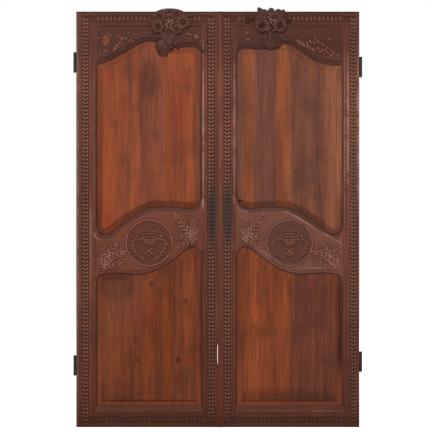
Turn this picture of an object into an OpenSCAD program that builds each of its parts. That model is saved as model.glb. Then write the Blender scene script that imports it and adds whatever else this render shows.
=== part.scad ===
// Pair of carved wooden cupboard doors, hung on lift-off iron hinges.
// Millimetres. X runs along the pair, Y from the front to the back, Z up. The origin is on the
// meeting line, in the middle of the frames' thickness, level with the bottom edges.

/* [Leaves] */
// Width of one leaf, from its hinge edge to its meeting edge
leaf_w = 637; // [600:1:700]
// Height of one leaf
leaf_h = 1870; // [1800:1:1950]
// Thickness of the joined frame
frame_t = 32; // [30:0.5:40]
// Gap between the leaves at the front
meeting_gap = 0.2; // [0.2:0.1:2]
// How far each meeting edge is planed back towards the rear
meeting_bevel = 1.5; // [1.5:0.1:3]
// Depth of the worn hollow in the left meeting edge
hollow_d = 7; // [3:0.5:9]
// Length of that hollow
hollow_l = 90; // [60:1:120]
// Height of its middle
hollow_z = 327; // [200:1:500]

/* [Stiles] */
// Width of the left hinge stile
left_hinge_stile_w = 90; // [86:1:100]
// Width of the left meeting stile
left_meeting_stile_w = 72; // [70:1:90]
// Width of the right hinge stile
right_hinge_stile_w = 75; // [74:1:100]
// Width of the right meeting stile
right_meeting_stile_w = 84; // [80:1:90]
// Rise of the rounded bead on the right meeting edge
bead_rise = 3; // [1:0.5:5]

/* [Rails] */
// Height of the bottom rail
bottom_rail_h = 91; // [85:1:110]
// Height of the middle of the medallions
middle_rail_z = 829; // [780:1:880]
// Drop of the quirk line under the top band
quirk_drop = 57; // [54:1:70]

/* [Mouldings] */
// Width of the moulding round the panels
moulding_w = 18; // [14:0.5:20]
// Depth of that moulding
moulding_d = 10.5; // [8:0.5:11]
// Step at its outer edge
moulding_step = 2.5; // [1:0.5:4]
// Flat lip at its inner edge
moulding_lip = 2; // [1:0.5:4]

/* [Laurel bands] */
// Width of the carved band
band_w = 28; // [22:1:30]
// Depth of the channel that it lies in
band_sink = 3.5; // [2:0.5:5]
// Quirk left free on each side of it
band_quirk = 1.5; // [1:0.5:3]
// Pitch of the leaves on the stiles
stile_pitch = 17; // [14:0.5:24]
// Pitch of the leaves on the rails
rail_pitch = 18.9; // [14:0.1:24]
// Slant of the leaves on the stiles
stile_leaf_angle = 45; // [35:1:80]
// Slant of the leaves on the rails
rail_leaf_angle = 70; // [40:1:80]
// From a hinge stile's inner edge to its band
hinge_band_inset = 35; // [32:1:38]
// From a meeting stile's inner edge to its band
meeting_band_inset = 28; // [26:1:32]
// From the top and bottom edges to the bands there
end_band_inset = 19; // [16:1:24]

/* [Panels] */
// Width of the panel groove
groove_w = 8; // [6:0.5:9]
// Depth of the panel groove
groove_d = 10; // [8:0.5:12]
// From the front face to the groove
groove_in = 12.5; // [12.5:0.5:15]
// Play between a panel and the sides of its groove
panel_fit = 0.3; // [0.2:0.05:0.5]
// Room left for a panel to swell
panel_swell = 3; // [2:0.5:4]
// Width of the bevel round a panel's field
bevel_w = 28; // [20:1:32]
// From the front face to the field
field_in = 4; // [2:0.5:6]
// Step between bevel and field
field_step = 2.5; // [1:0.5:4]

/* [Joinery] */
// Length of the tenons
tenon_l = 46; // [40:1:50]
// Thickness of the tenons
tenon_t = 9; // [7:0.5:10]
// From the front face to the tenons
tenon_in = 12; // [11:0.5:14]
// From a rail's edge to its tenon
tenon_shoulder = 15; // [14:1:20]
// Haunch above the top tenons
tenon_haunch = 45; // [40:1:50]
// Haunch below the bottom tenons
foot_haunch = 30; // [24:1:34]
// Play round a tenon
tenon_fit = 0.2; // [0.1:0.05:0.4]
// Radius of the wooden pegs
peg_r = 4; // [3:0.5:5]
// Play round a peg
peg_fit = 0.2; // [0.1:0.05:0.4]

/* [Carving] */
// Radius of the medallions
medallion_r = 103; // [90:1:106]
// Width of the medallion's ring
ring_w = 10; // [7:0.5:12]
// Rise of the medallion's ring
ring_rise = 4; // [2:0.5:6]
// Depth of the ground inside the ring
ground_sink = 2; // [1:0.5:3]
// Rise of the carved leaves
leaf_rise = 4.5; // [3:0.5:6]
// Thickness of the crest's ground
crest_base = 6; // [4:0.5:8]
// Rise of the crest's flowers above that
crest_rise = 8; // [5:0.5:10]
// Centre of the left crest, from its leaf's hinge edge
left_crest_u = 419; // [380:1:440]
// Centre of the right crest, from its leaf's hinge edge
right_crest_u = 398; // [370:1:430]
// Drop of the crests' centres below the top edge
crest_drop = 47; // [40:1:60]

/* [Hinges] */
// Height of a hinge
hinge_h = 90; // [80:1:110]
// Radius of its barrel
barrel_r = 6; // [5:0.5:7]
// Radius of its pin
pin_r = 3.5; // [2.5:0.25:4]
// Radial play of the pin
pin_play = 0.05; // [0.02:0.01:0.1]
// Play between the two barrels
barrel_play = 0.3; // [0.2:0.1:0.6]
// Thickness of the hinge plates
plate_t = 2.5; // [2:0.25:3.5]
// How far the plates reach behind the front face
plate_reach = 27; // [24:1:28]
// How far the pins stand in front of the face
pin_out = 5; // [5:0.5:8]
// Drop of the left upper hinge's middle below the top edge
left_upper_hinge_drop = 229; // [170:1:270]
// Height of the left lower hinge's middle
left_lower_hinge_z = 278; // [220:1:340]
// Drop of the right upper hinge's middle below the top edge
right_upper_hinge_drop = 250; // [170:1:290]
// Height of the right lower hinge's middle
right_lower_hinge_z = 295; // [220:1:340]
// Radius of the screw holes in the plates
screw_hole_r = 2.6; // [2:0.1:3]
// Spacing of the two holes of a plate
screw_pitch = 56; // [48:1:64]

/* [Lock and bolts] */
// Height of the keyhole
keyhole_z = 916; // [880:1:960]
// From the right meeting edge to the keyhole
keyhole_in = 52; // [44:1:56]
// Radius of the keyhole's round part
keyhole_r = 5; // [4:0.5:6]
// Length of the keyhole's slot
keyhole_slot = 11; // [8:1:14]
// Width of the lock case
lock_w = 72; // [64:1:76]
// Height of the lock case
lock_h = 112; // [96:1:130]
// Depth of the lock case
lock_d = 18; // [16:0.5:20]
// Wall of the lock case
lock_wall = 2.5; // [2:0.25:3]
// Height of the lock's bolt
latch_h = 24; // [18:1:28]
// Thickness of the lock's bolt
latch_t = 8; // [6:0.5:10]
// Travel of the lock's bolt
latch_throw = 18; // [12:1:20]
// Length of the slide bolts on the left leaf
bolt_l = 190; // [150:1:240]
// Width of the slide bolts
bolt_w = 14; // [12:0.5:18]
// Thickness of the slide bolts
bolt_t = 6; // [5:0.5:8]
// Travel of the slide bolts
bolt_throw = 18; // [12:1:22]
// Play of everything that slides
slide_play = 0.4; // [0.3:0.1:0.6]

/* [Hidden] */
LEFT = 0;
RIGHT = 1;
HINGE_END = 0;
MEETING_END = 1;
wood = "saddlebrown";
panel_wood = "sienna";
iron = "dimgray";
over = 2;
embed = 1;
groove_out = groove_in + groove_w;
peg_sides = 8;
edge_n = 21;
band_end = 0.5;

// Edges of the shaped rails. Each point is a share of the opening's width, from the hinge side,
// and a height: below the top edge for the top rails, above the medallion for the middle rail.
top_drop = [
    [[0, 238], [0.08, 226], [0.21, 196], [0.33, 164], [0.43, 137], [0.52, 130], [0.62, 143],
     [0.72, 160], [0.88, 155], [0.95, 159], [1, 180]],
    [[0, 236], [0.07, 240], [0.2, 229], [0.31, 205], [0.42, 167], [0.53, 142], [0.62, 147],
     [0.72, 163], [0.8, 168], [0.9, 164], [0.96, 167], [1, 184]]
];
middle_top = [[0, 72], [0.03, 45], [0.08, 35], [0.13, 43], [0.22, 77], [0.32, 111], [0.41, 137],
    [0.5, 155], [0.57, 161], [0.65, 160], [0.74, 160], [0.84, 155], [0.91, 156], [0.96, 170], [1, 206]];
middle_low = [[0, -174], [0.02, -153], [0.07, -141], [0.15, -136], [0.28, -138], [0.41, -141],
    [0.53, -130], [0.65, -102], [0.75, -69], [0.84, -34], [0.91, -17], [0.96, -23], [1, -54]];

// Leafy stems beside the medallion: start, bend and end, across and above its middle
middle_stems = [
    [[-218, -108], [-176, -66], [-128, -38]],
    [[-218, -108], [-170, -104], [-124, -94]],
    [[-190, -78], [-184, -44], [-170, -26]],
    [[208, 22], [150, 60], [94, 108]],
    [[208, 22], [160, 2], [124, -6]],
    [[166, 58], [180, 86], [198, 98]]
];

// Leafy stems on the top rail: a share of the opening's width and a drop below the top edge
top_stems = [
    [[0.06, 184], [0.12, 112], [0.4, 98]],
    [[0.06, 184], [0.15, 152], [0.28, 128]],
    [[0.895, 94], [0.925, 98], [0.948, 112]]
];

// Flowers of each crest: across, above its middle, radius and number of petals
crest_flowers = [
    [[-4, -16, 24, 9], [-54, 14, 20, 7], [-54, -34, 18, 7], [42, 10, 22, 8], [76, -16, 17, 7],
     [-14, 44, 20, 8], [-52, 40, 14, 6], [32, 42, 17, 7]],
    [[46, -16, 30, 12], [-40, -13, 31, 12], [6, 26, 18, 7], [90, 18, 14, 6]]
];

// Leaves of each crest: foot across and above its middle, direction in degrees, length
crest_leaves = [
    [[-24, 26, 150, 48], [26, 30, 24, 50], [-60, -8, 190, 36], [76, -6, 20, 40], [24, -26, -40, 44],
     [-28, -34, 210, 40], [56, -22, -30, 40]],
    [[40, 18, 70, 50], [4, 30, 84, 36], [-36, 4, 116, 54], [74, -2, 20, 38], [-58, -16, 200, 36],
     [18, -34, -60, 38], [-14, -32, 240, 34]]
];

// Hanging stems and scroll under each crest: start, bend and end
crest_stems = [
    [[[-6, -34], [-2, -62], [-12, -100]], [[6, -34], [4, -66], [-10, -100]],
     [[-12, -98], [10, -128], [-14, -156]], [[-12, -98], [-46, -110], [-38, -142]]],
    [[[-8, -30], [-14, -70], [-34, -112]], [[2, -30], [-8, -70], [-20, -116]],
     [[12, -30], [0, -72], [-6, -114]], [[2, -60], [30, -84], [44, -104]]]
];

// Sizes of one leaf

function hinge_stile_w(side) = side == LEFT ? left_hinge_stile_w : right_hinge_stile_w;
function meeting_stile_w(side) = side == LEFT ? left_meeting_stile_w : right_meeting_stile_w;
function opening_w(side) = leaf_w - hinge_stile_w(side) - meeting_stile_w(side);
function across(side, t) = hinge_stile_w(side) + t * opening_w(side);
function crest_u(side) = side == LEFT ? left_crest_u : right_crest_u;

// A smooth curve through a list of points, read at the share t

function knot_slope(k, i) =
    let (a = max(i - 1, 0), b = min(i + 1, len(k) - 1)) (k[b][1] - k[a][1]) / (k[b][0] - k[a][0]);

function hermite(k, i, t) =
    let (
        h = k[i + 1][0] - k[i][0],
        s = (t - k[i][0]) / h,
        m0 = h * knot_slope(k, i),
        m1 = h * knot_slope(k, i + 1)
    )
    (2 * s ^ 3 - 3 * s ^ 2 + 1) * k[i][1] + (s ^ 3 - 2 * s ^ 2 + s) * m0
        + (3 * s ^ 2 - 2 * s ^ 3) * k[i + 1][1] + (s ^ 3 - s ^ 2) * m1;

function spline(k, t) =
    let (c = min(max(t, 0), 1), i = [for (j = [0 : len(k) - 2]) if (c <= k[j + 1][0]) j][0])
    hermite(k, i, c);

// Heights of the four edges that bound a leaf's two openings

BOTTOM_EDGE = 0;
MIDDLE_LOW_EDGE = 1;
MIDDLE_TOP_EDGE = 2;
TOP_EDGE = 3;

function edge_z(side, edge, t) =
    edge == BOTTOM_EDGE ? bottom_rail_h
    : edge == MIDDLE_LOW_EDGE ? middle_rail_z + spline(middle_low, t)
    : edge == MIDDLE_TOP_EDGE ? middle_rail_z + spline(middle_top, t)
    : leaf_h - spline(top_drop[side], t);

// How much longer than its width a moulding is when it is measured upright on a slope

slope_step = 0.004;
slope_limit = 1.35;
function upright(side, edge, t) =
    let (
        run = 2 * slope_step * opening_w(side),
        rise = edge_z(side, edge, t + slope_step) - edge_z(side, edge, t - slope_step)
    )
    t <= 0 || t >= 1 ? 1 : min(slope_limit, sqrt(1 + (rise / run) ^ 2));

// Places along an opening, closer together towards both ends

function station(i) = let (a = i / edge_n) 0.6 * a + 0.2 * (1 - cos(180 * a));

// Section of the moulding: distance from the opening, depth behind the face

moulding = [
    for (a = [90 : -45 : 0])
        [moulding_w - (moulding_w - moulding_lip) * cos(a),
         moulding_d - (moulding_d - moulding_step) * sin(a)]
];
edge_profile = concat(
    [[moulding_w, 0]], moulding, [[0, moulding_d], [0, groove_in], [groove_d, groove_in],
    [groove_d, groove_out], [0, groove_out], [0, frame_t]]
);

// Places one leaf's pieces: they are drawn with X from the hinge edge, Y behind the face

module on_leaf(side) {
    mirror([side == LEFT ? 0 : 1, 0, 0])
        translate([-(leaf_w + meeting_gap / 2), -frame_t / 2, 0])
            children();
}

// Skin over a row of closed sections of as many points each

module skin(sections) {
    k = len(sections[0]);
    last = (len(sections) - 1) * k;
    sides = [
        for (i = [0 : len(sections) - 2], j = [0 : k - 1])
            let (a = i * k + j, b = i * k + (j + 1) % k)
                each [[b + k, b, a], [a + k, b + k, a]]
    ];
    start = [for (j = [0 : k - 1]) j];
    finish = [for (j = [k - 1 : -1 : 0]) last + j];
    polyhedron(points = [for (s = sections) each s], faces = concat([start], sides, [finish]));
}

// Laurel band, along +X, its upper face on Y = 0: leaves in pairs that point towards -X

module laurel_band(length, pitch, angle) {
    laurel_half(length, pitch, angle);
    mirror([0, 0, 1]) laurel_half(length, pitch, angle);
}

module laurel_half(length, pitch, angle) {
    period = pitch * sin(angle);
    first = -ceil(band_w / pitch);
    count = ceil(length / pitch) + 1;
    floor_y = band_sink + embed;
    leaf_shape = [[0, 0.85], [0.35, 0.15], [0.65, 0]];
    wave = [
        for (i = [first : count], p = leaf_shape) [(i + p[0]) * period, p[1] * band_sink]
    ];
    outline = concat([[first * period, floor_y]], wave, [[wave[len(wave) - 1][0], floor_y]]);
    intersection() {
        cube([length, floor_y, band_w / 2]);
        rotate([0, 90 - angle, 0])
            translate([0, 0, -band_w])
                linear_extrude(height = length + 2 * band_w) polygon(outline);
    }
}

// Channel that a laurel band of that length lies in

module band_channel(length) {
    translate([-band_quirk, -over, -band_w / 2 - band_quirk])
        cube([length + 2 * band_quirk, band_sink + over, band_w + 2 * band_quirk]);
}

// Tenons and pegs

BOTTOM_RAIL = 0;
MIDDLE_RAIL = 1;
TOP_RAIL = 2;
RAILS = [BOTTOM_RAIL, MIDDLE_RAIL, TOP_RAIL];

function tenon_z(side, rail, end) =
    rail == BOTTOM_RAIL ? [foot_haunch, bottom_rail_h - tenon_shoulder]
    : rail == MIDDLE_RAIL ? [edge_z(side, MIDDLE_LOW_EDGE, end) + tenon_shoulder,
        edge_z(side, MIDDLE_TOP_EDGE, end) - tenon_shoulder]
    : [edge_z(side, TOP_EDGE, end) + tenon_shoulder, leaf_h - tenon_haunch];

function peg_shares(rail) = rail == BOTTOM_RAIL ? [0.6] : [0.25, 0.75];

function peg_inset(end) =
    (moulding_w + (end == HINGE_END ? hinge_band_inset : meeting_band_inset) - band_quirk) / 2;

// Every peg of one rail's end: X from the sight edge outwards, Z

module peg_holes(side, rail, end, radius) {
    z = tenon_z(side, rail, end);
    for (share = peg_shares(rail))
        translate([peg_inset(end), 0, z[0] + share * (z[1] - z[0])])
            rotate([-90, 0, 0])
                cylinder(r = radius, h = frame_t, $fn = peg_sides);
}

module rail_tenon(side, rail, end, grow) {
    z = tenon_z(side, rail, end);
    translate([-embed, tenon_in - grow, z[0] - grow])
        cube([tenon_l + embed + 5 * grow, tenon_t + 2 * grow, z[1] - z[0] + 2 * grow]);
}

// Turns a shape drawn outwards from a sight edge to that end of the leaf

module at_end(side, end) {
    translate([across(side, end), 0, 0])
        mirror([end == HINGE_END ? 1 : 0, 0, 0])
            children();
}

// Stiles: X from the sight edge outwards

module moulding_cut(z0, z1) {
    outline = concat([[-over, -over], [moulding_w, -over]], moulding, [[-over, moulding_d]]);
    translate([0, 0, z0]) linear_extrude(height = z1 - z0) polygon(outline);
    for (flip = [0, 1])
        translate([0, 0, flip == 0 ? z0 : z1])
            mirror([0, 0, flip])
                intersection() {
                    translate([0, 0, -moulding_w]) linear_extrude(height = moulding_w) polygon(outline);
                    translate([-over, 0, 0])
                        rotate([0, 90, 0])
                            linear_extrude(height = moulding_w + 2 * over) polygon(outline);
                }
}

module stile_body(side, end, w, band_inset) {
    opens = [
        [edge_z(side, BOTTOM_EDGE, end), edge_z(side, MIDDLE_LOW_EDGE, end)],
        [edge_z(side, MIDDLE_TOP_EDGE, end), edge_z(side, TOP_EDGE, end)]
    ];
    band_x = band_inset + band_w / 2;
    band_l = leaf_h - 2 * end_band_inset;
    stub_z = [end_band_inset + band_w / 2, leaf_h - end_band_inset - band_w / 2];
    stub_l = band_inset - band_quirk;
    difference() {
        cube([w, frame_t, leaf_h]);
        for (z = opens) {
            moulding_cut(z[0], z[1]);
            translate([-over, groove_in, z[0] - groove_d])
                cube([groove_d + over, groove_w, z[1] - z[0] + 2 * groove_d]);
        }
        for (rail = RAILS) {
            rail_tenon(side, rail, end, tenon_fit);
            translate([0, -over, 0]) peg_holes(side, rail, end, peg_r + peg_fit);
            translate([0, over, 0]) peg_holes(side, rail, end, peg_r + peg_fit);
        }
        translate([band_x, 0, end_band_inset]) rotate([0, -90, 0]) band_channel(band_l);
        for (z = stub_z) translate([-over, 0, z]) band_channel(stub_l + over);
    }
    translate([band_x, 0, end_band_inset])
        rotate([0, -90, 0]) laurel_band(band_l, stile_pitch, stile_leaf_angle);
    for (z = stub_z) translate([0, 0, z]) laurel_band(stub_l, rail_pitch, rail_leaf_angle);
}

module hinge_stile(side) {
    color(wood)
        on_leaf(side)
            difference() {
                at_end(side, HINGE_END)
                    stile_body(side, HINGE_END, hinge_stile_w(side), hinge_band_inset);
                for (z = hinge_heights(side), dz = screw_dz)
                    translate([-over, screw_in, z + dz])
                        rotate([0, 90, 0]) pilot_hole(screw_l + over);
            }
}

module meeting_stile(side) {
    w = meeting_stile_w(side);
    color(wood)
        on_leaf(side)
            difference() {
                at_end(side, MEETING_END) {
                    stile_body(side, MEETING_END, w, meeting_band_inset);
                    if (side == RIGHT) meeting_bead(w);
                }
                back_bevel();
                if (side == LEFT) {
                    worn_hollow();
                    at_keeper_screws() pilot_hole(back_screw_l);
                    for (top = [0, 1]) bolt_place(top) at_guide_screws() pilot_hole(back_screw_l);
                }
                if (side == RIGHT) {
                    keyhole();
                    at_lock_screws() pilot_hole(back_screw_l);
                }
            }
}

module meeting_bead(w) {
    bead_w = w - meeting_band_inset - band_w - 2 * band_quirk;
    half = bead_w / 2;
    arc = [for (a = [0 : 30 : 180]) [half - half * cos(a), -bead_rise * sin(a)]];
    translate([w - bead_w, 0, 0])
        linear_extrude(height = leaf_h) polygon(concat(arc, [[bead_w, embed], [0, embed]]));
}

module back_bevel() {
    translate([leaf_w, 0, -over])
        linear_extrude(height = leaf_h + 2 * over)
            polygon([[0, 0], [over, 0], [over, frame_t + over], [-meeting_bevel, frame_t + over],
                [-meeting_bevel, frame_t]]);
}

module worn_hollow() {
    arc = [for (a = [0 : 15 : 180]) [-hollow_d * sin(a), -hollow_l / 2 * cos(a)]];
    translate([leaf_w, frame_t + over, hollow_z])
        rotate([90, 0, 0])
            linear_extrude(height = frame_t + 2 * over)
                polygon(concat([[over, -hollow_l / 2]], arc, [[over, hollow_l / 2]]));
}

module keyhole() {
    translate([leaf_w - keyhole_in, frame_t + over, keyhole_z])
        rotate([90, 0, 0])
            linear_extrude(height = frame_t + 2 * over) {
                circle(r = keyhole_r, $fn = 12);
                translate([-keyhole_r / 2, -keyhole_r - keyhole_slot])
                    square([keyhole_r, keyhole_slot + keyhole_r]);
            }
}

// Rails

function edge_points(side, edge, t, up) =
    let (z = edge_z(side, edge, t), k = up * upright(side, edge, t))
    [for (p = edge_profile) [across(side, t), p[1], z + k * p[0]]];

function reversed(list) = [for (i = [len(list) - 1 : -1 : 0]) list[i]];

module tenons(side, rail) {
    for (end = [HINGE_END, MEETING_END]) at_end(side, end) rail_tenon(side, rail, end, 0);
}

module rail_peg_holes(side, rail) {
    for (end = [HINGE_END, MEETING_END])
        at_end(side, end) peg_holes(side, rail, end, peg_r + peg_fit);
}

// The rail's band stops just short of the shoulders

module rail_band(side, z) {
    translate([across(side, 0) + band_end, 0, z])
        laurel_band(opening_w(side) - 2 * band_end, rail_pitch, rail_leaf_angle);
}

module bottom_rail(side) {
    outline = concat([[0, 0]], [for (p = edge_profile) [bottom_rail_h - p[0], p[1]]], [[0, frame_t]]);
    band_z = end_band_inset + band_w / 2;
    color(wood)
        on_leaf(side)
            difference() {
                union() {
                    difference() {
                        translate([across(side, 0), 0, 0])
                            rotate([0, -90, 0])
                                mirror([0, 0, 1])
                                    linear_extrude(height = opening_w(side)) polygon(outline);
                        translate([across(side, 0), 0, band_z]) band_channel(opening_w(side));
                    }
                    rail_band(side, band_z);
                    tenons(side, BOTTOM_RAIL);
                }
                rail_peg_holes(side, BOTTOM_RAIL);
            }
}

module top_rail(side) {
    sections = [
        for (i = [0 : edge_n])
            let (t = station(i), u = across(side, t))
                concat([[u, frame_t, leaf_h], [u, 0, leaf_h]], edge_points(side, TOP_EDGE, t, 1))
    ];
    band_z = leaf_h - end_band_inset - band_w / 2;
    color(wood)
        on_leaf(side)
            difference() {
                union() {
                    difference() {
                        skin(sections);
                        translate([across(side, 0), 0, band_z]) band_channel(opening_w(side));
                        translate([across(side, 0) - over, -over, leaf_h - quirk_drop - band_quirk])
                            cube([opening_w(side) + 2 * over, over + band_quirk, 2 * band_quirk]);
                    }
                    rail_band(side, band_z);
                    tenons(side, TOP_RAIL);
                    for (s = top_stems)
                        leafy_stem([for (p = s) [across(side, p[0]), leaf_h - p[1]]]);
                }
                rail_peg_holes(side, TOP_RAIL);
            }
}

module middle_rail(side) {
    sections = [
        for (i = [0 : edge_n])
            let (t = station(i))
                concat(
                    edge_points(side, MIDDLE_LOW_EDGE, t, 1),
                    reversed(edge_points(side, MIDDLE_TOP_EDGE, t, -1))
                )
    ];
    middle = [across(side, 0.5), middle_rail_z];
    color(wood)
        on_leaf(side)
            difference() {
                union() {
                    difference() {
                        skin(sections);
                        translate([middle[0], -over, middle[1]])
                            rotate([-90, 0, 0])
                                cylinder(r = medallion_r - ring_w, h = over + ground_sink, $fn = 28);
                    }
                    tenons(side, MIDDLE_RAIL);
                    translate([middle[0], 0, middle[1]]) medallion();
                    for (s = middle_stems) leafy_stem([for (p = s) middle + p]);
                }
                rail_peg_holes(side, MIDDLE_RAIL);
                if (side == RIGHT) keyhole();
            }
}

// Carved ornament, standing out towards -Y

function bend(s, t) = (1 - t) ^ 2 * s[0] + 2 * t * (1 - t) * s[1] + t ^ 2 * s[2];

module carved_leaf(length, width, rise, root) {
    polyhedron(
        points = [[0, root, 0], [0.4 * length, root, width / 2], [length, root, 0],
            [0.4 * length, root, -width / 2], [0.35 * length, -rise, 0]],
        faces = [[1, 4, 0], [2, 4, 1], [3, 4, 2], [0, 4, 3], [3, 2, 1, 0]]
    );
}

module aimed_leaf(foot, angle, length, rise, root = embed) {
    translate([foot[0], 0, foot[1]])
        rotate([0, -angle, 0]) carved_leaf(length, 0.42 * length, rise, root);
}

// A stem with a leaf on each side at every joint and one at its tip

module leafy_stem(s) {
    joints = 4;
    length = norm(s[2] - s[0]);
    stem_r = 3;
    for (i = [0 : joints - 1]) {
        a = bend(s, i / joints);
        b = bend(s, (i + 1) / joints);
        way = atan2(b[1] - a[1], b[0] - a[0]);
        stem_piece(a, b, stem_r);
        for (turn = [-38, 38]) aimed_leaf(b, way + turn, length / 4.5, leaf_rise);
        if (i == joints - 1) aimed_leaf(b, way, length / 4, leaf_rise);
    }
}

module stem_piece(a, b, r) {
    hull() {
        for (p = [a, b])
            translate([p[0], embed, p[1]])
                rotate([90, 0, 0]) cylinder(r1 = r, r2 = r / 3, h = r + embed, $fn = 4);
    }
}

module flower(r, petals, rise) {
    for (i = [0 : petals - 1]) aimed_leaf([0, 0], i * 360 / petals, r, rise);
    hull() {
        rotate([90, 0, 0]) cylinder(r = r / 3, h = rise, $fn = 8);
        rotate([90, 0, 0]) cylinder(r = r / 6, h = rise + r / 10, $fn = 8);
    }
}

module bud(r) {
    hull() {
        translate([0, embed, 0]) rotate([90, 0, 0]) cylinder(r = r, h = embed + r / 4, $fn = 6);
        rotate([90, 0, 0]) cylinder(r = r / 2, h = leaf_rise, $fn = 6);
    }
}

// Ring with a basket of flowers, a crossed ribbon and two laurel branches

module medallion() {
    root = ground_sink + embed;
    rotate([90, 0, 0])
        rotate_extrude($fn = 28)
            translate([medallion_r - ring_w, -root])
                polygon([[0, 0], [0, root], [ring_w / 3, root + ring_rise],
                    [2 * ring_w / 3, root + ring_rise], [ring_w, root], [ring_w, 0]]);
    translate([0, ground_sink, 0]) {
        basket();
        for (side = [-1, 1], i = [0 : 5]) {
            a = 270 + side * (14 + 13 * i);
            at = 0.76 * medallion_r * [cos(a), sin(a)];
            aimed_leaf(at, a + side * 72, 0.24 * medallion_r, leaf_rise);
        }
        for (side = [-1, 1])
            stem_piece(medallion_r * [-0.14 * side, -0.5], medallion_r * [0.14 * side, -0.27], 3);
    }
}

module basket() {
    r = medallion_r;
    bowl = r * [for (a = [180 : 30 : 360]) [0.43 * cos(a), 0.25 * sin(a)]];
    bud_r = 0.078 * r;
    step = 0.137 * r;
    rotate([90, 0, 0]) translate([0, 0, -embed]) linear_extrude(height = leaf_rise + embed) polygon(bowl);
    for (row = [0 : 2], i = [row - 3 : 3 - row])
        translate([step * i, 0, r * (0.126 + 0.166 * row - 0.015 * abs(i))]) bud(bud_r);
    for (side = [-1, 1]) stem_piece(r * [0.45 * side, 0.02], r * [0.58 * side, -0.17], 3);
}

// Crests, laid on the faces of the top rails and rising above them

module crest(side) {
    flowers = crest_flowers[side];
    color(wood)
        on_leaf(side)
            translate([crest_u(side), 0, leaf_h - crest_drop]) {
                crest_ground(flowers);
                translate([0, -crest_base, 0]) {
                    for (f = flowers) translate([f[0], 0, f[1]]) flower(f[2], f[3], crest_rise);
                    for (l = crest_leaves[side])
                        aimed_leaf([l[0], l[1]], l[2], l[3], crest_rise / 2, crest_base);
                }
                for (s = crest_stems[side]) hanging_stem(s);
            }
}

module crest_ground(flowers) {
    rotate([90, 0, 0])
        linear_extrude(height = crest_base)
            hull() {
                for (f = flowers) translate([f[0], f[1]]) circle(r = 0.85 * f[2], $fn = 12);
            }
}

module hanging_stem(s) {
    pieces = 3;
    for (i = [0 : pieces - 1]) {
        a = bend(s, i / pieces);
        b = bend(s, (i + 1) / pieces);
        hull() {
            for (p = [a, b])
                translate([p[0], 0, p[1]])
                    rotate([90, 0, 0]) cylinder(r = crest_base, h = crest_base, $fn = 6);
        }
    }
}

// Panels: closed loops round the opening, each at its own distance from the edge and depth

panel_n = edge_n + 2;
corner_share = 0.3;

// In the grooves the points follow the rails' own sections; elsewhere they share out the width

function panel_u(side, inset, i) =
    let (
        ends = [across(side, 0) + inset, across(side, 1) - inset],
        t = station(min(max(i - 1, corner_share), edge_n - corner_share))
    )
    i == 0 ? ends[0]
    : i == panel_n ? ends[1]
    : inset < 0 ? across(side, station(i - 1))
    : (1 - t) * ends[0] + t * ends[1];

function panel_loop(side, low, high, inset, depth) = [
    for (part = [0, 1], i = [0 : panel_n])
        let (
            j = part == 0 ? i : panel_n - i,
            u = panel_u(side, inset, j),
            t = min(max((u - across(side, 0)) / opening_w(side), 0), 1),
            edge = part == 0 ? low : high,
            lift = (part == 0 ? 1 : -1) * inset * (j == 0 || j == panel_n ? 1 : upright(side, edge, t))
        )
        [u, depth, edge_z(side, edge, t) + lift]
];

module panel(side, low, high) {
    tongue = -(groove_d - panel_swell);
    back = groove_out - panel_fit;
    front = groove_in + panel_fit;
    loops = [
        panel_loop(side, low, high, tongue, back),
        panel_loop(side, low, high, tongue, front),
        panel_loop(side, low, high, 1, front),
        panel_loop(side, low, high, bevel_w, field_in + field_step),
        panel_loop(side, low, high, bevel_w + 1.5, field_in)
    ];
    k = len(loops[0]);
    top = (len(loops) - 1) * k;
    walls = [
        for (i = [0 : len(loops) - 2], j = [0 : k - 1])
            let (a = i * k + j, b = i * k + (j + 1) % k)
                each [[b + k, b, a], [a + k, b + k, a]]
    ];
    strips = [for (i = [0 : panel_n - 1]) [i, i + 1, k - 2 - i, k - 1 - i]];
    rear = [for (s = strips) each [[s[0], s[1], s[2]], [s[0], s[2], s[3]]]];
    field = [for (f = rear) [top + f[2], top + f[1], top + f[0]]];
    color(panel_wood)
        on_leaf(side)
            polyhedron(points = [for (l = loops) each l], faces = concat(rear, walls, field));
}

// Pegs through stiles and tenons, flush with both faces

module joint_pegs(side) {
    color(wood)
        on_leaf(side)
            for (end = [HINGE_END, MEETING_END], rail = RAILS)
                at_end(side, end) peg_holes(side, rail, end, peg_r);
}

// Hinges: the pin stands clear of the leaf's edge, in front of the face

screw_l = 20;
screw_dz = [-screw_pitch / 2, screw_pitch / 2];
screw_r = screw_hole_r - 0.4;
screw_head = 1.2;
pilot_end = 0.5;
screw_in = (plate_reach + barrel_r - pin_out) / 2;
barrel_gap = 0.6;
pin_top_wall = 5;

function hinge_heights(side) =
    side == LEFT ? [left_lower_hinge_z, leaf_h - left_upper_hinge_drop]
    : [right_lower_hinge_z, leaf_h - right_upper_hinge_drop];

module at_hinge(side, upper) {
    on_leaf(side) translate([-barrel_r, -pin_out, hinge_heights(side)[upper]]) children();
}

module hinge_plate(x, z0, z1) {
    plate_y = barrel_r + barrel_gap;
    difference() {
        union() {
            translate([x, plate_y, -hinge_h / 2])
                cube([plate_t, plate_reach + pin_out - plate_y, hinge_h]);
            translate([x, 0, z0]) cube([plate_t, plate_y + embed, z1 - z0]);
        }
        for (dz = screw_dz)
            translate([x + plate_t / 2, screw_in + pin_out, dz])
                rotate([0, 90, 0]) screw_hole();
    }
}

module hinge_leaf(side, upper) {
    z0 = barrel_play / 2;
    color(iron)
        at_hinge(side, upper)
            difference() {
                union() {
                    translate([0, 0, z0]) cylinder(r = barrel_r, h = hinge_h / 2 - z0, $fn = 48);
                    hinge_plate(barrel_r - plate_t, z0, hinge_h / 2);
                }
                translate([0, 0, -over])
                    cylinder(r = pin_r + pin_play, h = hinge_h / 2 - pin_top_wall + over, $fn = 48);
            }
}

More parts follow.
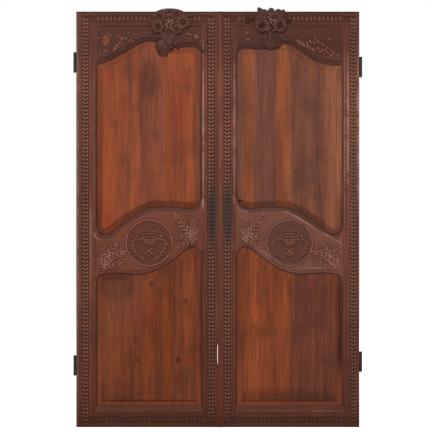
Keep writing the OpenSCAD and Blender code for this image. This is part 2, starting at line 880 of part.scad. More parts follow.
module hinge_frame_leaf(side, upper) {
    z1 = -barrel_play / 2;
    color(iron)
        at_hinge(side, upper) {
            translate([0, 0, -hinge_h / 2]) cylinder(r = barrel_r, h = hinge_h / 2 + z1, $fn = 48);
            translate([0, 0, z1 - embed])
                cylinder(r = pin_r, h = hinge_h / 2 - pin_top_wall - over - z1 + embed, $fn = 48);
            hinge_plate(-barrel_r, -hinge_h / 2, z1);
        }
}

module screw(length) {
    translate([0, 0, -screw_head]) cylinder(r1 = screw_r, r2 = 1.7 * screw_r, h = screw_head, $fn = 32);
    cylinder(r = screw_r, h = length, $fn = 32);
}

module screw_hole() {
    cylinder(r = screw_hole_r, h = 4 * over, center = true, $fn = 32);
}

module pilot_hole(length) {
    cylinder(r = screw_r + 2 * peg_fit, h = length + pilot_end, $fn = peg_sides);
}

module hinge_screws(side) {
    color(iron)
        on_leaf(side)
            for (z = hinge_heights(side), dz = screw_dz)
                translate([-plate_t, screw_in, z + dz])
                    rotate([0, 90, 0]) screw(screw_l + plate_t);
}

// Lock case: a shell open to the door, with a slotted rib that guides the bolt inside

lock_ear = 14;
lock_edge_in = 4;
lock_u = leaf_w - meeting_bevel - lock_edge_in - lock_w;
lock_z = keyhole_z + lock_ear;
latch_y = frame_t + (lock_d - lock_wall - latch_t) / 2;
latch_z = keyhole_z + keyhole_r + latch_h;
latch_l = lock_w - 12;
rib_in = 44;
rib_over = 8;
back_screw_l = 12;

module lock_case() {
    inner = [lock_w - 2 * lock_wall, lock_d - lock_wall, lock_h - 2 * lock_wall];
    color(iron)
        on_leaf(RIGHT)
            difference() {
                union() {
                    difference() {
                        translate([lock_u, frame_t, lock_z - lock_h / 2]) {
                            cube([lock_w, lock_d, lock_h]);
                            translate([0, 0, -lock_ear]) cube([lock_w, lock_wall, lock_h + 2 * lock_ear]);
                        }
                        translate([lock_u + lock_wall, frame_t - over, lock_z - inner[2] / 2])
                            cube(inner + [0, over, 0]);
                    }
                    translate([lock_u + lock_w - rib_in, frame_t, latch_z - latch_h / 2 - rib_over])
                        cube([lock_wall, lock_d - lock_wall / 2, latch_h + 2 * rib_over]);
                }
                translate([lock_u + lock_w - rib_in - over, latch_y - slide_play,
                        latch_z - latch_h / 2 - slide_play])
                    cube([rib_in + 2 * over, latch_t + 2 * slide_play, latch_h + 2 * slide_play]);
                at_lock_screws() screw_hole();
            }
}

module at_lock_screws() {
    for (x = [0.2, 0.8], way = [-1, 1])
        translate([lock_u + x * lock_w, frame_t + lock_wall, lock_z + way * (lock_h + lock_ear) / 2])
            rotate([90, 0, 0]) children();
}

module lock_bolt() {
    color(iron)
        on_leaf(RIGHT)
            translate([lock_u + lock_w - latch_l, latch_y, latch_z - latch_h / 2])
                cube([latch_l, latch_t, latch_h]);
}

module lock_screws() {
    color(iron) on_leaf(RIGHT) at_lock_screws() screw(back_screw_l);
}

// Keeper: a staple on the left leaf that the lock's bolt slides under

keeper_w = 18;
keeper_in = 2;
keeper_bar = 4;
keeper_leg = 8;
keeper_play = 1;
keeper_ear = 16;
keeper_u = leaf_w - meeting_bevel - keeper_in - keeper_w;

module lock_keeper() {
    way_h = latch_h + 2 * keeper_play;
    way_y = latch_y - frame_t + latch_t + keeper_play;
    staple_h = way_h + 2 * keeper_leg;
    color(iron)
        on_leaf(LEFT)
            difference() {
                translate([keeper_u, frame_t, latch_z]) {
                    translate([0, 0, -staple_h / 2]) cube([keeper_w, way_y + keeper_bar, staple_h]);
                    translate([0, 0, -staple_h / 2 - keeper_ear])
                        cube([keeper_w, lock_wall, staple_h + 2 * keeper_ear]);
                }
                translate([keeper_u - over, frame_t - over, latch_z - way_h / 2])
                    cube([keeper_w + 2 * over, way_y + over, way_h]);
                at_keeper_screws() screw_hole();
            }
}

module at_keeper_screws() {
    for (way = [-1, 1])
        translate([keeper_u + keeper_w / 2, frame_t + lock_wall,
                latch_z + way * (latch_h / 2 + keeper_play + keeper_leg + keeper_ear / 2)])
            rotate([90, 0, 0]) children();
}

module keeper_screws() {
    color(iron) on_leaf(LEFT) at_keeper_screws() screw(back_screw_l);
}

// Slide bolts on the back of the left leaf: Z from the top or bottom edge outwards

bolt_in = 40;
bolt_back = 4;
guide_t = 2.5;
guide_w = 36;
guide_near = 20;
guide_far = 150;
strap_h = 16;
strap_t = 3;
knob_r = 5;
knob_h = 14;
guide_screw_x = 13;

module bolt_place(top) {
    translate([leaf_w - bolt_in, frame_t, top == 1 ? leaf_h : 0])
        mirror([0, 0, top == 1 ? 0 : 1])
            children();
}

module at_bolt(top) {
    on_leaf(LEFT) bolt_place(top) children();
}

module slide_bolt(top) {
    color(iron)
        at_bolt(top)
            translate([0, guide_t + slide_play, -bolt_back]) {
                translate([-bolt_w / 2, 0, -bolt_l]) cube([bolt_w, bolt_t, bolt_l]);
                translate([0, bolt_t - embed, -bolt_l / 2])
                    rotate([-90, 0, 0]) cylinder(r = knob_r, h = knob_h, $fn = 32);
            }
}

module bolt_guide(top) {
    way = [bolt_w + 2 * slide_play, bolt_t + 2 * slide_play];
    color(iron)
        at_bolt(top)
            difference() {
                union() {
                    translate([-guide_w / 2, 0, -guide_far]) cube([guide_w, guide_t, guide_far - guide_near]);
                    for (z = [-guide_far, -guide_near - strap_h])
                        translate([-way[0] / 2 - strap_t, 0, z])
                            cube([way[0] + 2 * strap_t, guide_t + way[1] + strap_t, strap_h]);
                }
                translate([-way[0] / 2, guide_t, -guide_far - over]) cube([way[0], way[1], guide_far]);
                at_guide_screws() screw_hole();
            }
}

module at_guide_screws() {
    for (x = [-guide_screw_x, guide_screw_x], z = [-guide_far + 2 * strap_h, -guide_near - 2 * strap_h])
        translate([x, guide_t, z]) rotate([90, 0, 0]) children();
}

module guide_screws(top) {
    color(iron) at_bolt(top) at_guide_screws() screw(back_screw_l);
}

hinge_stile(LEFT);  // left_hinge_stile
meeting_stile(LEFT);  // left_meeting_stile
top_rail(LEFT);  // left_top_rail
middle_rail(LEFT);  // left_middle_rail
bottom_rail(LEFT);  // left_bottom_rail
panel(LEFT, MIDDLE_TOP_EDGE, TOP_EDGE);  // left_upper_panel
panel(LEFT, BOTTOM_EDGE, MIDDLE_LOW_EDGE);  // left_lower_panel
crest(LEFT);  // left_crest
joint_pegs(LEFT);  // left_joint_pegs
hinge_leaf(LEFT, 1);  // left_upper_hinge_leaf
hinge_leaf(LEFT, 0);  // left_lower_hinge_leaf
hinge_screws(LEFT);  // left_hinge_screws
hinge_stile(RIGHT);  // right_hinge_stile
meeting_stile(RIGHT);  // right_meeting_stile
top_rail(RIGHT);  // right_top_rail
middle_rail(RIGHT);  // right_middle_rail
bottom_rail(RIGHT);  // right_bottom_rail
panel(RIGHT, MIDDLE_TOP_EDGE, TOP_EDGE);  // right_upper_panel
panel(RIGHT, BOTTOM_EDGE, MIDDLE_LOW_EDGE);  // right_lower_panel
crest(RIGHT);  // right_crest
joint_pegs(RIGHT);  // right_joint_pegs
hinge_leaf(RIGHT, 1);  // right_upper_hinge_leaf
hinge_leaf(RIGHT, 0);  // right_lower_hinge_leaf
hinge_screws(RIGHT);  // right_hinge_screws
hinge_frame_leaf(LEFT, 1);  // left_upper_hinge_frame_leaf
hinge_frame_leaf(LEFT, 0);  // left_lower_hinge_frame_leaf
hinge_frame_leaf(RIGHT, 1);  // right_upper_hinge_frame_leaf
hinge_frame_leaf(RIGHT, 0);  // right_lower_hinge_frame_leaf
lock_case();
lock_bolt();
lock_screws();
lock_keeper();
keeper_screws();
slide_bolt(1);  // top_slide_bolt
bolt_guide(1);  // top_bolt_guide
guide_screws(1);  // top_guide_screws
slide_bolt(0);  // bottom_slide_bolt
bolt_guide(0);  // bottom_bolt_guide
guide_screws(0);  // bottom_guide_screws
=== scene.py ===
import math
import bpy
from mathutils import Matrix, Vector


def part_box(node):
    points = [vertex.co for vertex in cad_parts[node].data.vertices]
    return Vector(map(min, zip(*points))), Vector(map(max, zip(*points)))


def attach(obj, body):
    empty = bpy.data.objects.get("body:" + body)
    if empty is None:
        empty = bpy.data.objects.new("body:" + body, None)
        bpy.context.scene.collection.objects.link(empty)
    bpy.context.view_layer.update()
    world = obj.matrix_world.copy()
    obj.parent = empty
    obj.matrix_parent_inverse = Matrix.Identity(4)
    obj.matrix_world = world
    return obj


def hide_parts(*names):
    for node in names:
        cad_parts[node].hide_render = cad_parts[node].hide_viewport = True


bl_info = {
    "name": "Carved Cupboard Doors",
    "version": (1, 0, 0),
    "blender": (4, 5, 0),
    "location": "View3D > Sidebar > Doors",
    "description": "Dresses a pair of carved cupboard doors: wood, mouldings, carving and ironwork",
    "category": "Object",
}

import bmesh
import bpy
from bpy.props import FloatProperty, FloatVectorProperty, PointerProperty
from bpy.types import Operator, Panel, PropertyGroup
from mathutils import Matrix, Vector

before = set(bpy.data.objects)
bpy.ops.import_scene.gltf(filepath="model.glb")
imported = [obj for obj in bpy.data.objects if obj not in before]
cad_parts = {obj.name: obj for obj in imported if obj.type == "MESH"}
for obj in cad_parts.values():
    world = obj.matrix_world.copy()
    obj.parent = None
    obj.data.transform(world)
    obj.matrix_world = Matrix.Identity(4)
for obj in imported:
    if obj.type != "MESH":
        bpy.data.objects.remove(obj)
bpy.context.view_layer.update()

MM = 0.001
SIDES = ("left", "right")
BODY = {"left": "left_leaf", "right": "right_leaf"}
WAY = {"left": 1, "right": -1}


def ends_across(part):
    """Distances of a solid's far and near end from the middle of the pair, in metres."""
    ends = [abs(corner.x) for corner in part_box(part)]
    return max(ends), min(ends)


# Sizes of the leaves, read from the solids, in metres; sight edges and middles are from the hinge edge
FACE_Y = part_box("left_bottom_rail")[0].y
LEAF_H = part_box("left_hinge_stile")[1].z
HINGE_EDGE = {s: ends_across(f"{s}_hinge_stile")[0] for s in SIDES}
SIGHT_HINGE = {s: HINGE_EDGE[s] - ends_across(f"{s}_hinge_stile")[1] for s in SIDES}
SIGHT_MEETING = {s: HINGE_EDGE[s] - ends_across(f"{s}_meeting_stile")[0] for s in SIDES}
OPENING_MIDDLE = {s: (SIGHT_HINGE[s] + SIGHT_MEETING[s]) / 2 for s in SIDES}

# Layout of the carving, repeated from the solids, in millimetres, and the slope of the middle rails
BAND_W = 28
BAND_SINK = 3.5
STILE_PITCH = 17
RAIL_PITCH = 18.9
END_BAND_INSET = 19
END_BAND_MIDDLE = END_BAND_INSET + BAND_W / 2
HINGE_BAND_INSET = 35
MEETING_BAND_INSET = 28
MIDDLE_Z = 829
RAIL_SLOPE = 0.28
MEDALLION_R = 103
RING_W = 10
GROUND_SINK = 2
CREST_DROP = 47
FILLET_DROP = 61
CREST_U = {"left": 419, "right": 398}

# Single forms, in millimetres: start of a spray's leaf behind the face, length and width of a laurel leaf
LEAF_FOOT = 0.4
LAUREL_LEAF = (19.5, 11)
FILLET_R = 5.5

# Sprays beside the medallion, from its middle: start, bend and end, joints, length of a leaf
MIDDLE_SPRAYS = (
    ((216, 18), (172, 52), (128, 112), 6, 40),
    ((216, 18), (172, 30), (132, 26), 4, 34),
    ((216, 18), (176, 2), (138, -14), 4, 30),
    ((214, 28), (208, 60), (198, 92), 4, 32),
    ((-226, -112), (-186, -68), (-128, -46), 6, 40),
    ((-226, -112), (-186, -102), (-138, -92), 4, 32),
    ((-200, -84), (-182, -42), (-154, -14), 4, 34),
    ((-222, -100), (-216, -66), (-204, -36), 3, 28),
)

# Sprays on the top rails, from the hinge edge and below the top edge
TOP_SPRAYS = {
    "left": (((166, 180), (180, 156), (204, 132), 4, 22), ((492, 96), (512, 104), (530, 110), 3, 16)),
    "right": (((202, 127), (172, 144), (142, 164), 3, 20), ((286, 131), (248, 148), (212, 170), 6, 22)),
}

# Single leaves on the top rails: foot and tip from the hinge edge and below the top edge, width, rise
TOP_LEAVES = {
    "left": ((116, 130, 147, 96, 18, 3.4), (118, 130, 161, 111, 18, 3.4), (119, 131, 166, 130, 18, 3.4),
             (118, 132, 161, 149, 18, 3.4), (116, 133, 147, 165, 17, 3.4), (90, 120, 116, 123, 7, 6),
             (120, 109, 150, 107, 5, 6), (122, 121, 156, 120, 5, 6), (122, 140, 152, 140, 5, 6),
             (144, 97, 163, 116, 8, 6), (93, 183, 121, 185, 7, 6), (101, 197, 119, 193, 7, 5),
             (134, 172, 138, 194, 9, 6), (123, 188, 128, 202, 7, 5), (120, 184, 146, 168, 8, 5),
             (196, 133, 213, 106, 15, 4.4), (187, 121, 191, 98, 12, 4.4), (213, 129, 236, 112, 11, 5),
             (237, 141, 248, 120, 9, 6), (251, 145, 262, 126, 9, 6), (256, 99, 270, 110, 8, 6),
             (269, 111, 289, 99, 8, 6), (226, 99, 248, 95, 9, 5), (214, 162, 231, 150, 9, 5),
             (300, 100, 318, 92, 8, 5), (206, 176, 220, 166, 8, 5), (272, 128, 286, 116, 7, 5),
             (500, 120, 524, 126, 10, 5), (548, 98, 562, 92, 9, 5), (554, 130, 566, 140, 9, 5)),
    "right": ((241, 133, 226, 158, 10, 6), (226, 127, 212, 150, 10, 6), (211, 136, 192, 150, 11, 5),
              (170, 166, 168, 190, 10, 6), (157, 165, 149, 186, 10, 6), (113, 178, 116, 199, 10, 5),
              (132, 190, 122, 210, 10, 5), (102, 190, 90, 208, 9, 5), (246, 95, 223, 90, 8, 5),
              (183, 100, 170, 92, 8, 5), (142, 118, 125, 136, 11, 5), (190, 158, 180, 178, 10, 6),
              (260, 120, 244, 111, 8, 5), (204, 112, 188, 121, 9, 5), (146, 176, 138, 196, 10, 6),
              (256, 142, 246, 162, 9, 6), (126, 172, 122, 190, 10, 5), (170, 128, 154, 122, 9, 5)),
}
TOP_BEADS = {
    "left": ((183, 157), (194, 163), (174, 172), (200, 150), (207, 141), (123, 180), (512, 134)),
    "right": ((234, 158), (122, 196), (160, 192), (178, 184), (140, 204)),
}

# Small flowers on the top rails: place, radius, petals
TOP_FLOWERS = {
    "left": ((541, 114, 16, 6),),
    "right": ((505, 97, 12, 6), (499, 126, 11, 6)),
}

# Crests, from their middle: daisies as place, radius and petals; leaves as foot, direction, length, width
CREST_DAISIES = {
    "left": ((62, -2, 32, 12), (-50, -22, 30, 12), (-44, 22, 28, 11), (34, 34, 24, 10), (34, -34, 24, 10)),
    "right": ((40, -17, 33, 14), (-41, -16, 33, 14), (-76, 5, 15, 7), (104, 10, 15, 7)),
}
CREST_LEAVES = {
    "left": ((-66, 20, 168, 26, 13), (-74, -10, 190, 24, 12), (80, 22, 18, 24, 13), (84, -10, -8, 26, 12),
             (62, -34, -30, 26, 13), (-58, -40, 212, 24, 13)),
    "right": ((22, 10, 56, 66, 36), (22, 6, 42, 54, 30), (20, 4, 24, 48, 24), (0, 14, 92, 50, 42),
              (-24, 10, 131, 58, 36), (24, 8, 82, 50, 42), (-18, 8, 112, 54, 42), (-22, 6, 150, 50, 26),
              (76, 14, 10, 24, 13)),
}
CREST_BUDS = {
    "left": ((0, 54), (-24, 38), (-22, 30), (12, 4), (20, 10), (-13, -11), (6, -15), (-4, -4), (-8, -26),
             (8, -27), (10, -38), (-15, -37)),
    "right": ((-14, 6), (2, 34), (12, 20), (28, 17), (40, 18), (-37, 17), (0, -6), (2, 14), (14, -38),
              (-12, -40)),
}

# Foliage that hangs from the crests: stems as start, bend, end and radius; leaves as above; beads
HANGING_STEMS = {
    "left": (((-38, -44), (-26, -70), (-14, -98), 6), ((-28, -46), (-20, -70), (-11, -98), 6),
             ((-18, -47), (-14, -70), (-8, -98), 6), ((-8, -48), (-8, -70), (-5, -98), 6),
             ((2, -48), (-2, -70), (-3, -98), 6), ((12, -47), (4, -70), (0, -98), 6),
             ((22, -46), (12, -70), (3, -98), 6), ((32, -44), (20, -70), (6, -98), 6),
             ((-4, -94), (14, -124), (-18, -126), 4.5), ((-18, -126), (-42, -122), (-28, -98), 4.0),
             ((-8, -146), (-62, -158), (-54, -108), 4.5)),
    "right": (((-8, -40), (-12, -80), (-12, -112), 4.0), ((-20, -40), (-20, -80), (-24, -114), 4.0),
              ((-34, -40), (-30, -80), (-37, -108), 4.0), ((16, -40), (18, -74), (30, -102), 4.0)),
}
HANGING_LEAVES = {
    "left": ((-4, -100, 222, 52, 20), (4, -100, 300, 30, 14), (14, -88, -42, 40, 12), (-30, -60, 200, 30, 12),
             (28, -60, -20, 30, 12)),
    "right": ((22, -46, -75, 52, 18), (40, -50, -80, 44, 14), (4, -46, -90, 56, 18), (-40, -50, 235, 44, 16),
              (-44, -72, 200, 40, 14)),
}
HANGING_BEADS = {
    "left": ((-46, -124), (39, -112), (-4, -98)),
    "right": ((-12, -112), (-36, -108), (30, -104)),
}

# Swellings of the rails under that foliage: middle, half width, half height
CREST_TONGUES = {"left": (-26, -112, 38, 42), "right": (-4, -92, 44, 34)}

# Mounds under the flowers: middle, half width, half height
CREST_MOUNDS = {"left": (2, 3, 96, 59), "right": (0, 10, 74, 42)}

# Fields of small flowers in the middle of the crests: half width, half height, spacing
BOUQUETS = {"left": (30, 54, 13), "right": (22, 44, 13)}

# Marks of age on the frame, in millimetres: middle across and up, half width, half height, share
GRIME = ((-26, 950, 17, 130, 0.95), (46, 950, 22, 130, 0.85))

# Worn spots, and painted highlights along the mouldings and the outer edges of the leaves, given the same way
# with a slant in degrees
RUBBED_AND_HIGHLIGHTS = (
    (-66, 1352, 5, 330, 0.9, 0), (-67, 1006, 5, 22, 0.9, 0), (-558, 1240, 4, 420, 0.2, 0),
    (-572, 860, 7, 180, 0.25, 0), (-632, 1000, 7, 860, 0.4, 0), (76, 1352, 8, 300, 0.5, 0),
    (572, 1300, 3, 400, 0.5, 0), (640, 1000, 6, 900, 0.35, 0), (10, 1300, 5, 500, 0.2, 0),
    (585, 1360, 5, 290, 0.75, 0), (630, 1340, 7, 320, 0.7, 0), (606, 1200, 16, 360, 0.15, 0),
    (-554, 866, 3, 12, 0.7, 15), (-546, 852, 3, 9, 0.6, 45), (-536, 845, 8, 3, 0.45, -10),
    (72, 1032, 4, 15, 0.8, 5), (78, 1006, 4, 13, 0.7, 30), (94, 986, 14, 4, 0.6, -38),
    (122, 972, 16, 4, 0.5, -18), (200, 966, 8, 3, 0.5, -25), (311, 966, 22, 4, 0.4, -18),
    (381, 929, 66, 4, 0.75, -31), (495, 862, 78, 4, 0.6, -30), (-188, 954, 8, 3, 0.5, 0),
    (-150, 945, 10, 2, 0.4, -15), (190, 796, 60, 8, 0.3, -34), (282, 735, 56, 8, 0.3, -32),
    (455, 716, 60, 6, 0.25, 0),
)

# Without a slant again: painted shade on the ground between the sprays, and scars of lost lock plates
SHADED_HOLLOWS = (
    (-445, 1722, 108, 52, 0.5), (464, 1697, 112, 56, 0.5), (-134, 884, 58, 66, 0.5),
    (-494, 770, 66, 58, 0.4), (134, 864, 64, 58, 0.45), (482, 779, 68, 64, 0.5),
)
SCARS = ((-66, 1692, 5, 8, 0.95), (-64, 1035, 10, 2, 0.8), (-62, 783, 10, 2, 0.8), (-35, 943, 4, 7, 0.9),
         (96, 780, 12, 2, 0.7))

# Tints of boards, stains and knots, of painted shade and painted light on the panels, and of the bare
# wood at the back, as factors on the wood under its wax
AMBER = (1.28, 1.14, 0.85)
UMBER = (0.66, 0.76, 1.0)
BROWN = (0.78, 0.88, 1.0)
PALE = (1.30, 1.45, 1.5)
RED = (0.98, 0.64, 0.75)
STAIN_AND_SHADE = (0.42, 0.48, 0.60)
KNOT_AND_SHADE = (0.26, 0.28, 0.32)
BARE = (1.15, 1.35, 1.45)

# Streaks in the grain, as factors on the wood
DARK_STREAK = (0.48, 0.56, 0.72)
LIGHT_STREAK = (1.42, 1.40, 1.25)

# Zones of the frame by height, in metres: where each begins and is full, then where it fades and ends
FOOT_ZONE = (0.03, 0.16)
FLOOR_ZONE = (0.2, 0.65)
MIDDLE_ZONE = (0.5, 0.6, 1.1, 1.2)
SHOULDER_ZONE = (1.05, 1.3, 1.6, 1.75)
TOP_ZONE = (1.52, 1.74)

# Depths behind the face in the same way, in millimetres: on the frame and on the panels
MEDALLION_GROUND = (1.0, 1.8)
BAND_GROUND = (0.6, 2.5)
QUIRK = (2.2, 2.5, 3.0, 3.6)
MOULDING_FOOT = (8.5, 10.5)
FRAME_BACK = (20.0, 24.0)
BEVEL = (5.0, 6.4)
LOWER_BEVEL = (5.5, 9.5)
BEVEL_FOOT = (11.8, 12.8)
PANEL_BACK = (16.0, 18.0)

# Tints of the frame near its ends, near the floor, at shoulder height and in the medallions
TOP_TINT = (0.40, 0.42, 0.54)
FOOT_TINT = (0.52, 0.42, 0.24)
FLOOR_TINT = (0.86, 0.77, 0.78)
SHOULDER_TINT = (1.16, 1.13, 1.12)
MEDALLION_TINT = {"left": (0.74, 0.76, 0.80), "right": (0.66, 0.80, 1.05)}

# Colours that depend on no wood
GRIME_TONE = (0.034, 0.026, 0.024)
CARVING_GRIME = (0.040, 0.031, 0.028)
RUST = (0.060, 0.024, 0.012)

# Meshes: distance within which places are one, and the angle up to which faces count as flat
WELD = 0.02 * MM
FLAT = math.radians(0.5)

# The camera: its place across and up, distance from the face, half the width of its view there
EYE_X = -0.008
EYE_Z = 0.950
EYE_FAR = 4.5
VIEW_HALF = 0.972

# Panels: tone against the panel wood, contrast of the grain, share of painted shadow at the left and top,
# tone of the lower bevel, darker on the upper panels and painted light on the lower ones;
# boards as low, high, tint, share; stains, knots, and painted shade and light along the bevels and below
# the rails, as middle, half sizes, tint, share
PANELS = {
    "left_upper_panel": {
        "tone": (1.0, 1.0, 1.0),
        "contrast": 1.0,
        "shadow": 0.4,
        "sill": 0.3,
        "boards": ((-522, -440, AMBER, 0.5), (-352, -250, UMBER, 0.5), (-230, -100, AMBER, 0.4)),
        "stains_and_shading": ((-305, 1570, 40, 95, STAIN_AND_SHADE, 0.85), (-494, 1586, 24, 48, RED, 0.5),
                   (-300, 1400, 60, 220, BROWN, 0.7), (-172, 1480, 40, 160, RED, 0.5),
                   (-500, 1050, 26, 300, AMBER, 0.6), (-430, 1480, 24, 140, AMBER, 0.6),
                   (-492, 925, 24, 52, RED, 0.6), (-130, 1560, 18, 70, UMBER, 0.6),
                   (-95, 1300, 22, 340, BROWN, 0.9), (-78, 1310, 5, 340, STAIN_AND_SHADE, 1.0)),
    },
    "left_lower_panel": {
        "tone": (0.78, 0.77, 0.70),
        "contrast": 1.25,
        "shadow": 0.15,
        "sill": 1.5,
        "boards": ((-522, -420, UMBER, 0.3), (-330, -200, AMBER, 0.6)),
        "stains_and_shading": ((-450, 625, 80, 60, STAIN_AND_SHADE, 0.6), (-300, 644, 12, 14, KNOT_AND_SHADE, 0.8),
                   (-179, 302, 10, 14, KNOT_AND_SHADE, 0.8), (-143, 567, 9, 12, KNOT_AND_SHADE, 0.6),
                   (-190, 180, 150, 80, BROWN, 0.8), (-520, 150, 30, 60, STAIN_AND_SHADE, 0.6),
                   (-360, 300, 7, 10, KNOT_AND_SHADE, 0.7), (-330, 520, 60, 80, RED, 0.5),
                   (-420, 330, 40, 160, AMBER, 0.4), (-532, 392, 15, 250, PALE, 0.6),
                   (-305, 103, 260, 13, BROWN, 0.9), (-305, 118, 260, 6, KNOT_AND_SHADE, 0.7),
                   (-462, 684, 95, 26, STAIN_AND_SHADE, 0.8), (-78, 390, 5, 300, KNOT_AND_SHADE, 0.6)),
    },
    "right_upper_panel": {
        "tone": (0.88, 1.10, 1.30),
        "contrast": 1.0,
        "shadow": 0.25,
        "sill": 0.3,
        "boards": ((80, 113, UMBER, 0.6), (113, 160, AMBER, 0.7), (165, 259, UMBER, 0.8),
                   (264, 320, AMBER, 0.8), (328, 474, BROWN, 0.8), (487, 575, PALE, 0.7)),
        "stains_and_shading": ((360, 1540, 30, 50, BROWN, 0.6), (150, 1050, 30, 120, AMBER, 0.5),
                   (420, 1350, 50, 300, BROWN, 0.5), (367, 1610, 34, 60, STAIN_AND_SHADE, 0.4),
                   (100, 1314, 16, 330, PALE, 0.9), (545, 1314, 16, 330, PALE, 0.6)),
    },
    "right_lower_panel": {
        "tone": (0.82, 0.84, 0.84),
        "contrast": 1.25,
        "shadow": 0.1,
        "sill": 1.5,
        "boards": ((110, 330, AMBER, 0.5), (330, 520, UMBER, 0.5)),
        "stains_and_shading": ((329, 610, 2, 80, KNOT_AND_SHADE, 0.95), (230, 480, 90, 150, AMBER, 0.6),
                   (430, 560, 60, 90, STAIN_AND_SHADE, 0.5), (460, 250, 70, 140, BROWN, 0.8),
                   (546, 370, 20, 310, STAIN_AND_SHADE, 0.5), (550, 370, 7, 310, KNOT_AND_SHADE, 1.0),
                   (311, 122, 280, 45, STAIN_AND_SHADE, 0.75), (311, 120, 260, 5, KNOT_AND_SHADE, 0.4)),
    },
}


def length_value(name, description, default, low, high):
    """A length property, its values given in millimetres."""
    return FloatProperty(name=name, description=description, default=default * MM, min=low * MM,
                         max=high * MM, subtype="DISTANCE", unit="LENGTH")


def colour_value(name, description, default):
    return FloatVectorProperty(name=name, description=description, default=default, size=3, min=0.0, max=1.0,
                               subtype="COLOR")


class DoorWork(PropertyGroup):
    arris: length_value("Arris", "Width that the edges of the frame are worn to", 1.8, 0, 3)
    leaf_rise: length_value("Leaf rise", "Height of the carved leaves above the face", 6.0, 2, 8)
    band_rise: length_value("Band rise", "Height of the laurel leaves above the face", 1.8, 0, 3)


class DoorFinish(PropertyGroup):
    frame_wood: colour_value("Frame wood", "Waxed wood of the stiles and rails", (0.138, 0.041, 0.0225))
    panel_wood: colour_value("Panel wood", "Redder wood of the panels", (0.240, 0.060, 0.026))
    # The worn wood also serves as painted highlights along the mouldings and on the tips of the carving
    worn_and_lit_wood: colour_value("Worn wood", "Rubbed wood on the arrises and the carving", (0.360, 0.190, 0.150))
    carving: colour_value("Carving", "Darker, greyer wood of the crests", (0.050, 0.020, 0.017))
    # The dark wax also stands in as painted shade in the quirks, at the feet of the mouldings and bevels, on
    # the end edges and in the low parts of the carving
    old_wax_and_shade: colour_value("Old wax", "Dark wax left in the hollows", (0.022, 0.010, 0.008))
    iron: colour_value("Iron", "Blackened iron of hinges, lock and bolts", (0.018, 0.016, 0.016))


# Selection and edit mode

def deselect():
    if bpy.context.mode != "OBJECT":
        bpy.ops.object.mode_set(mode="OBJECT")
    bpy.ops.object.select_all(action="DESELECT")


def make_active(obj):
    deselect()
    obj.select_set(True)
    bpy.context.view_layer.objects.active = obj


def pick(obj, test):
    """Enters edit mode with only the vertices selected whose place passes the test."""
    make_active(obj)
    bpy.ops.object.mode_set(mode="EDIT")
    bpy.ops.mesh.select_mode(type="VERT")
    bpy.ops.mesh.select_all(action="DESELECT")
    work = bmesh.from_edit_mesh(obj.data)
    for vert in work.verts:
        vert.select = test(vert.co)
    work.select_flush_mode()
    bmesh.update_edit_mesh(obj.data)


def leave_edit():
    bpy.ops.object.mode_set(mode="OBJECT")


def whole(place):
    return True


def scale_part(obj, test, value, about=(0, 0, 0)):
    """Scales the places that pass the test about a point."""
    pick(obj, test)
    bpy.ops.transform.resize(value=value, center_override=about)
    leave_edit()


def take_added(name):
    """The object just added, named, with its place and turn worked into its mesh."""
    obj = bpy.context.active_object
    obj.name = name
    bpy.ops.object.transform_apply(location=True, rotation=True, scale=True)
    return obj


def apply_modifiers(obj):
    make_active(obj)
    for modifier in list(obj.modifiers):
        bpy.ops.object.modifier_apply(modifier=modifier.name)


def smooth(obj, degrees):
    make_active(obj)
    bpy.ops.object.shade_smooth_by_angle(angle=math.radians(degrees))


def fuse(objects, name):
    """Joins objects into one piece."""
    deselect()
    for obj in objects:
        obj.select_set(True)
    bpy.context.view_layer.objects.active = objects[0]
    if len(objects) > 1:
        bpy.ops.object.join()
    piece = bpy.context.view_layer.objects.active
    piece.name = name
    piece.data.name = name
    return piece


def strew(blank, places):
    """Copies of a blank, each with its own mesh at its own place."""
    made = []
    for place in places:
        mesh = blank.data.copy()
        mesh.transform(place)
        if place.determinant() < 0:
            mesh.flip_normals()
        copy = bpy.data.objects.new(blank.name, mesh)
        bpy.context.collection.objects.link(copy)
        made.append(copy)
    return made


def discard(*objects):
    for obj in objects:
        bpy.data.objects.remove(obj)


def seat(piece, side, material):
    """Moves a piece from its leaf's own frame to the doors' frame and lets it ride on that leaf."""
    to_pair = Matrix.Translation((-HINGE_EDGE[side], FACE_Y, 0))
    if side == "right":
        to_pair = Matrix.Scale(-1, 4, (1, 0, 0)) @ to_pair
    piece.data.transform(to_pair)
    if side == "right":
        piece.data.flip_normals()
    dress(piece, material)
    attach(piece, BODY[side])


def dress(obj, *materials):
    obj.data.materials.clear()
    for material in materials:
        obj.data.materials.append(material)


# Places on one leaf

def leaf_mm(side, place):
    """A place as millimetres from the leaf's hinge edge, behind its face and above its foot."""
    return (HINGE_EDGE[side] + WAY[side] * place.x) / MM, (place.y - FACE_Y) / MM, place.z / MM


def pair_x(side, u):
    """Where a place that far from a leaf's hinge edge lies across the pair, in metres."""
    return WAY[side] * (u - HINGE_EDGE[side])


def metres(*values):
    return tuple(value * MM for value in values)


def direction(degrees):
    angle = math.radians(degrees)
    return Vector((math.cos(angle), math.sin(angle)))


def band_middles(side):
    """Distances of the two upright bands from the hinge edge, in millimetres."""
    return (SIGHT_HINGE[side] / MM - HINGE_BAND_INSET - BAND_W / 2,
            SIGHT_MEETING[side] / MM + MEETING_BAND_INSET + BAND_W / 2)


def on_band(side, place):
    u, depth, z = leaf_mm(side, place)
    half = BAND_W / 2 + 0.3
    top = LEAF_H / MM
    upright = any(abs(u - middle) < half for middle in band_middles(side))
    level = min(abs(z - END_BAND_MIDDLE), abs(z - top + END_BAND_MIDDLE)) < half
    inside = END_BAND_INSET - 0.3 < z < top - END_BAND_INSET + 0.3
    return depth < BAND_SINK - 0.02 and inside and (upright or level)


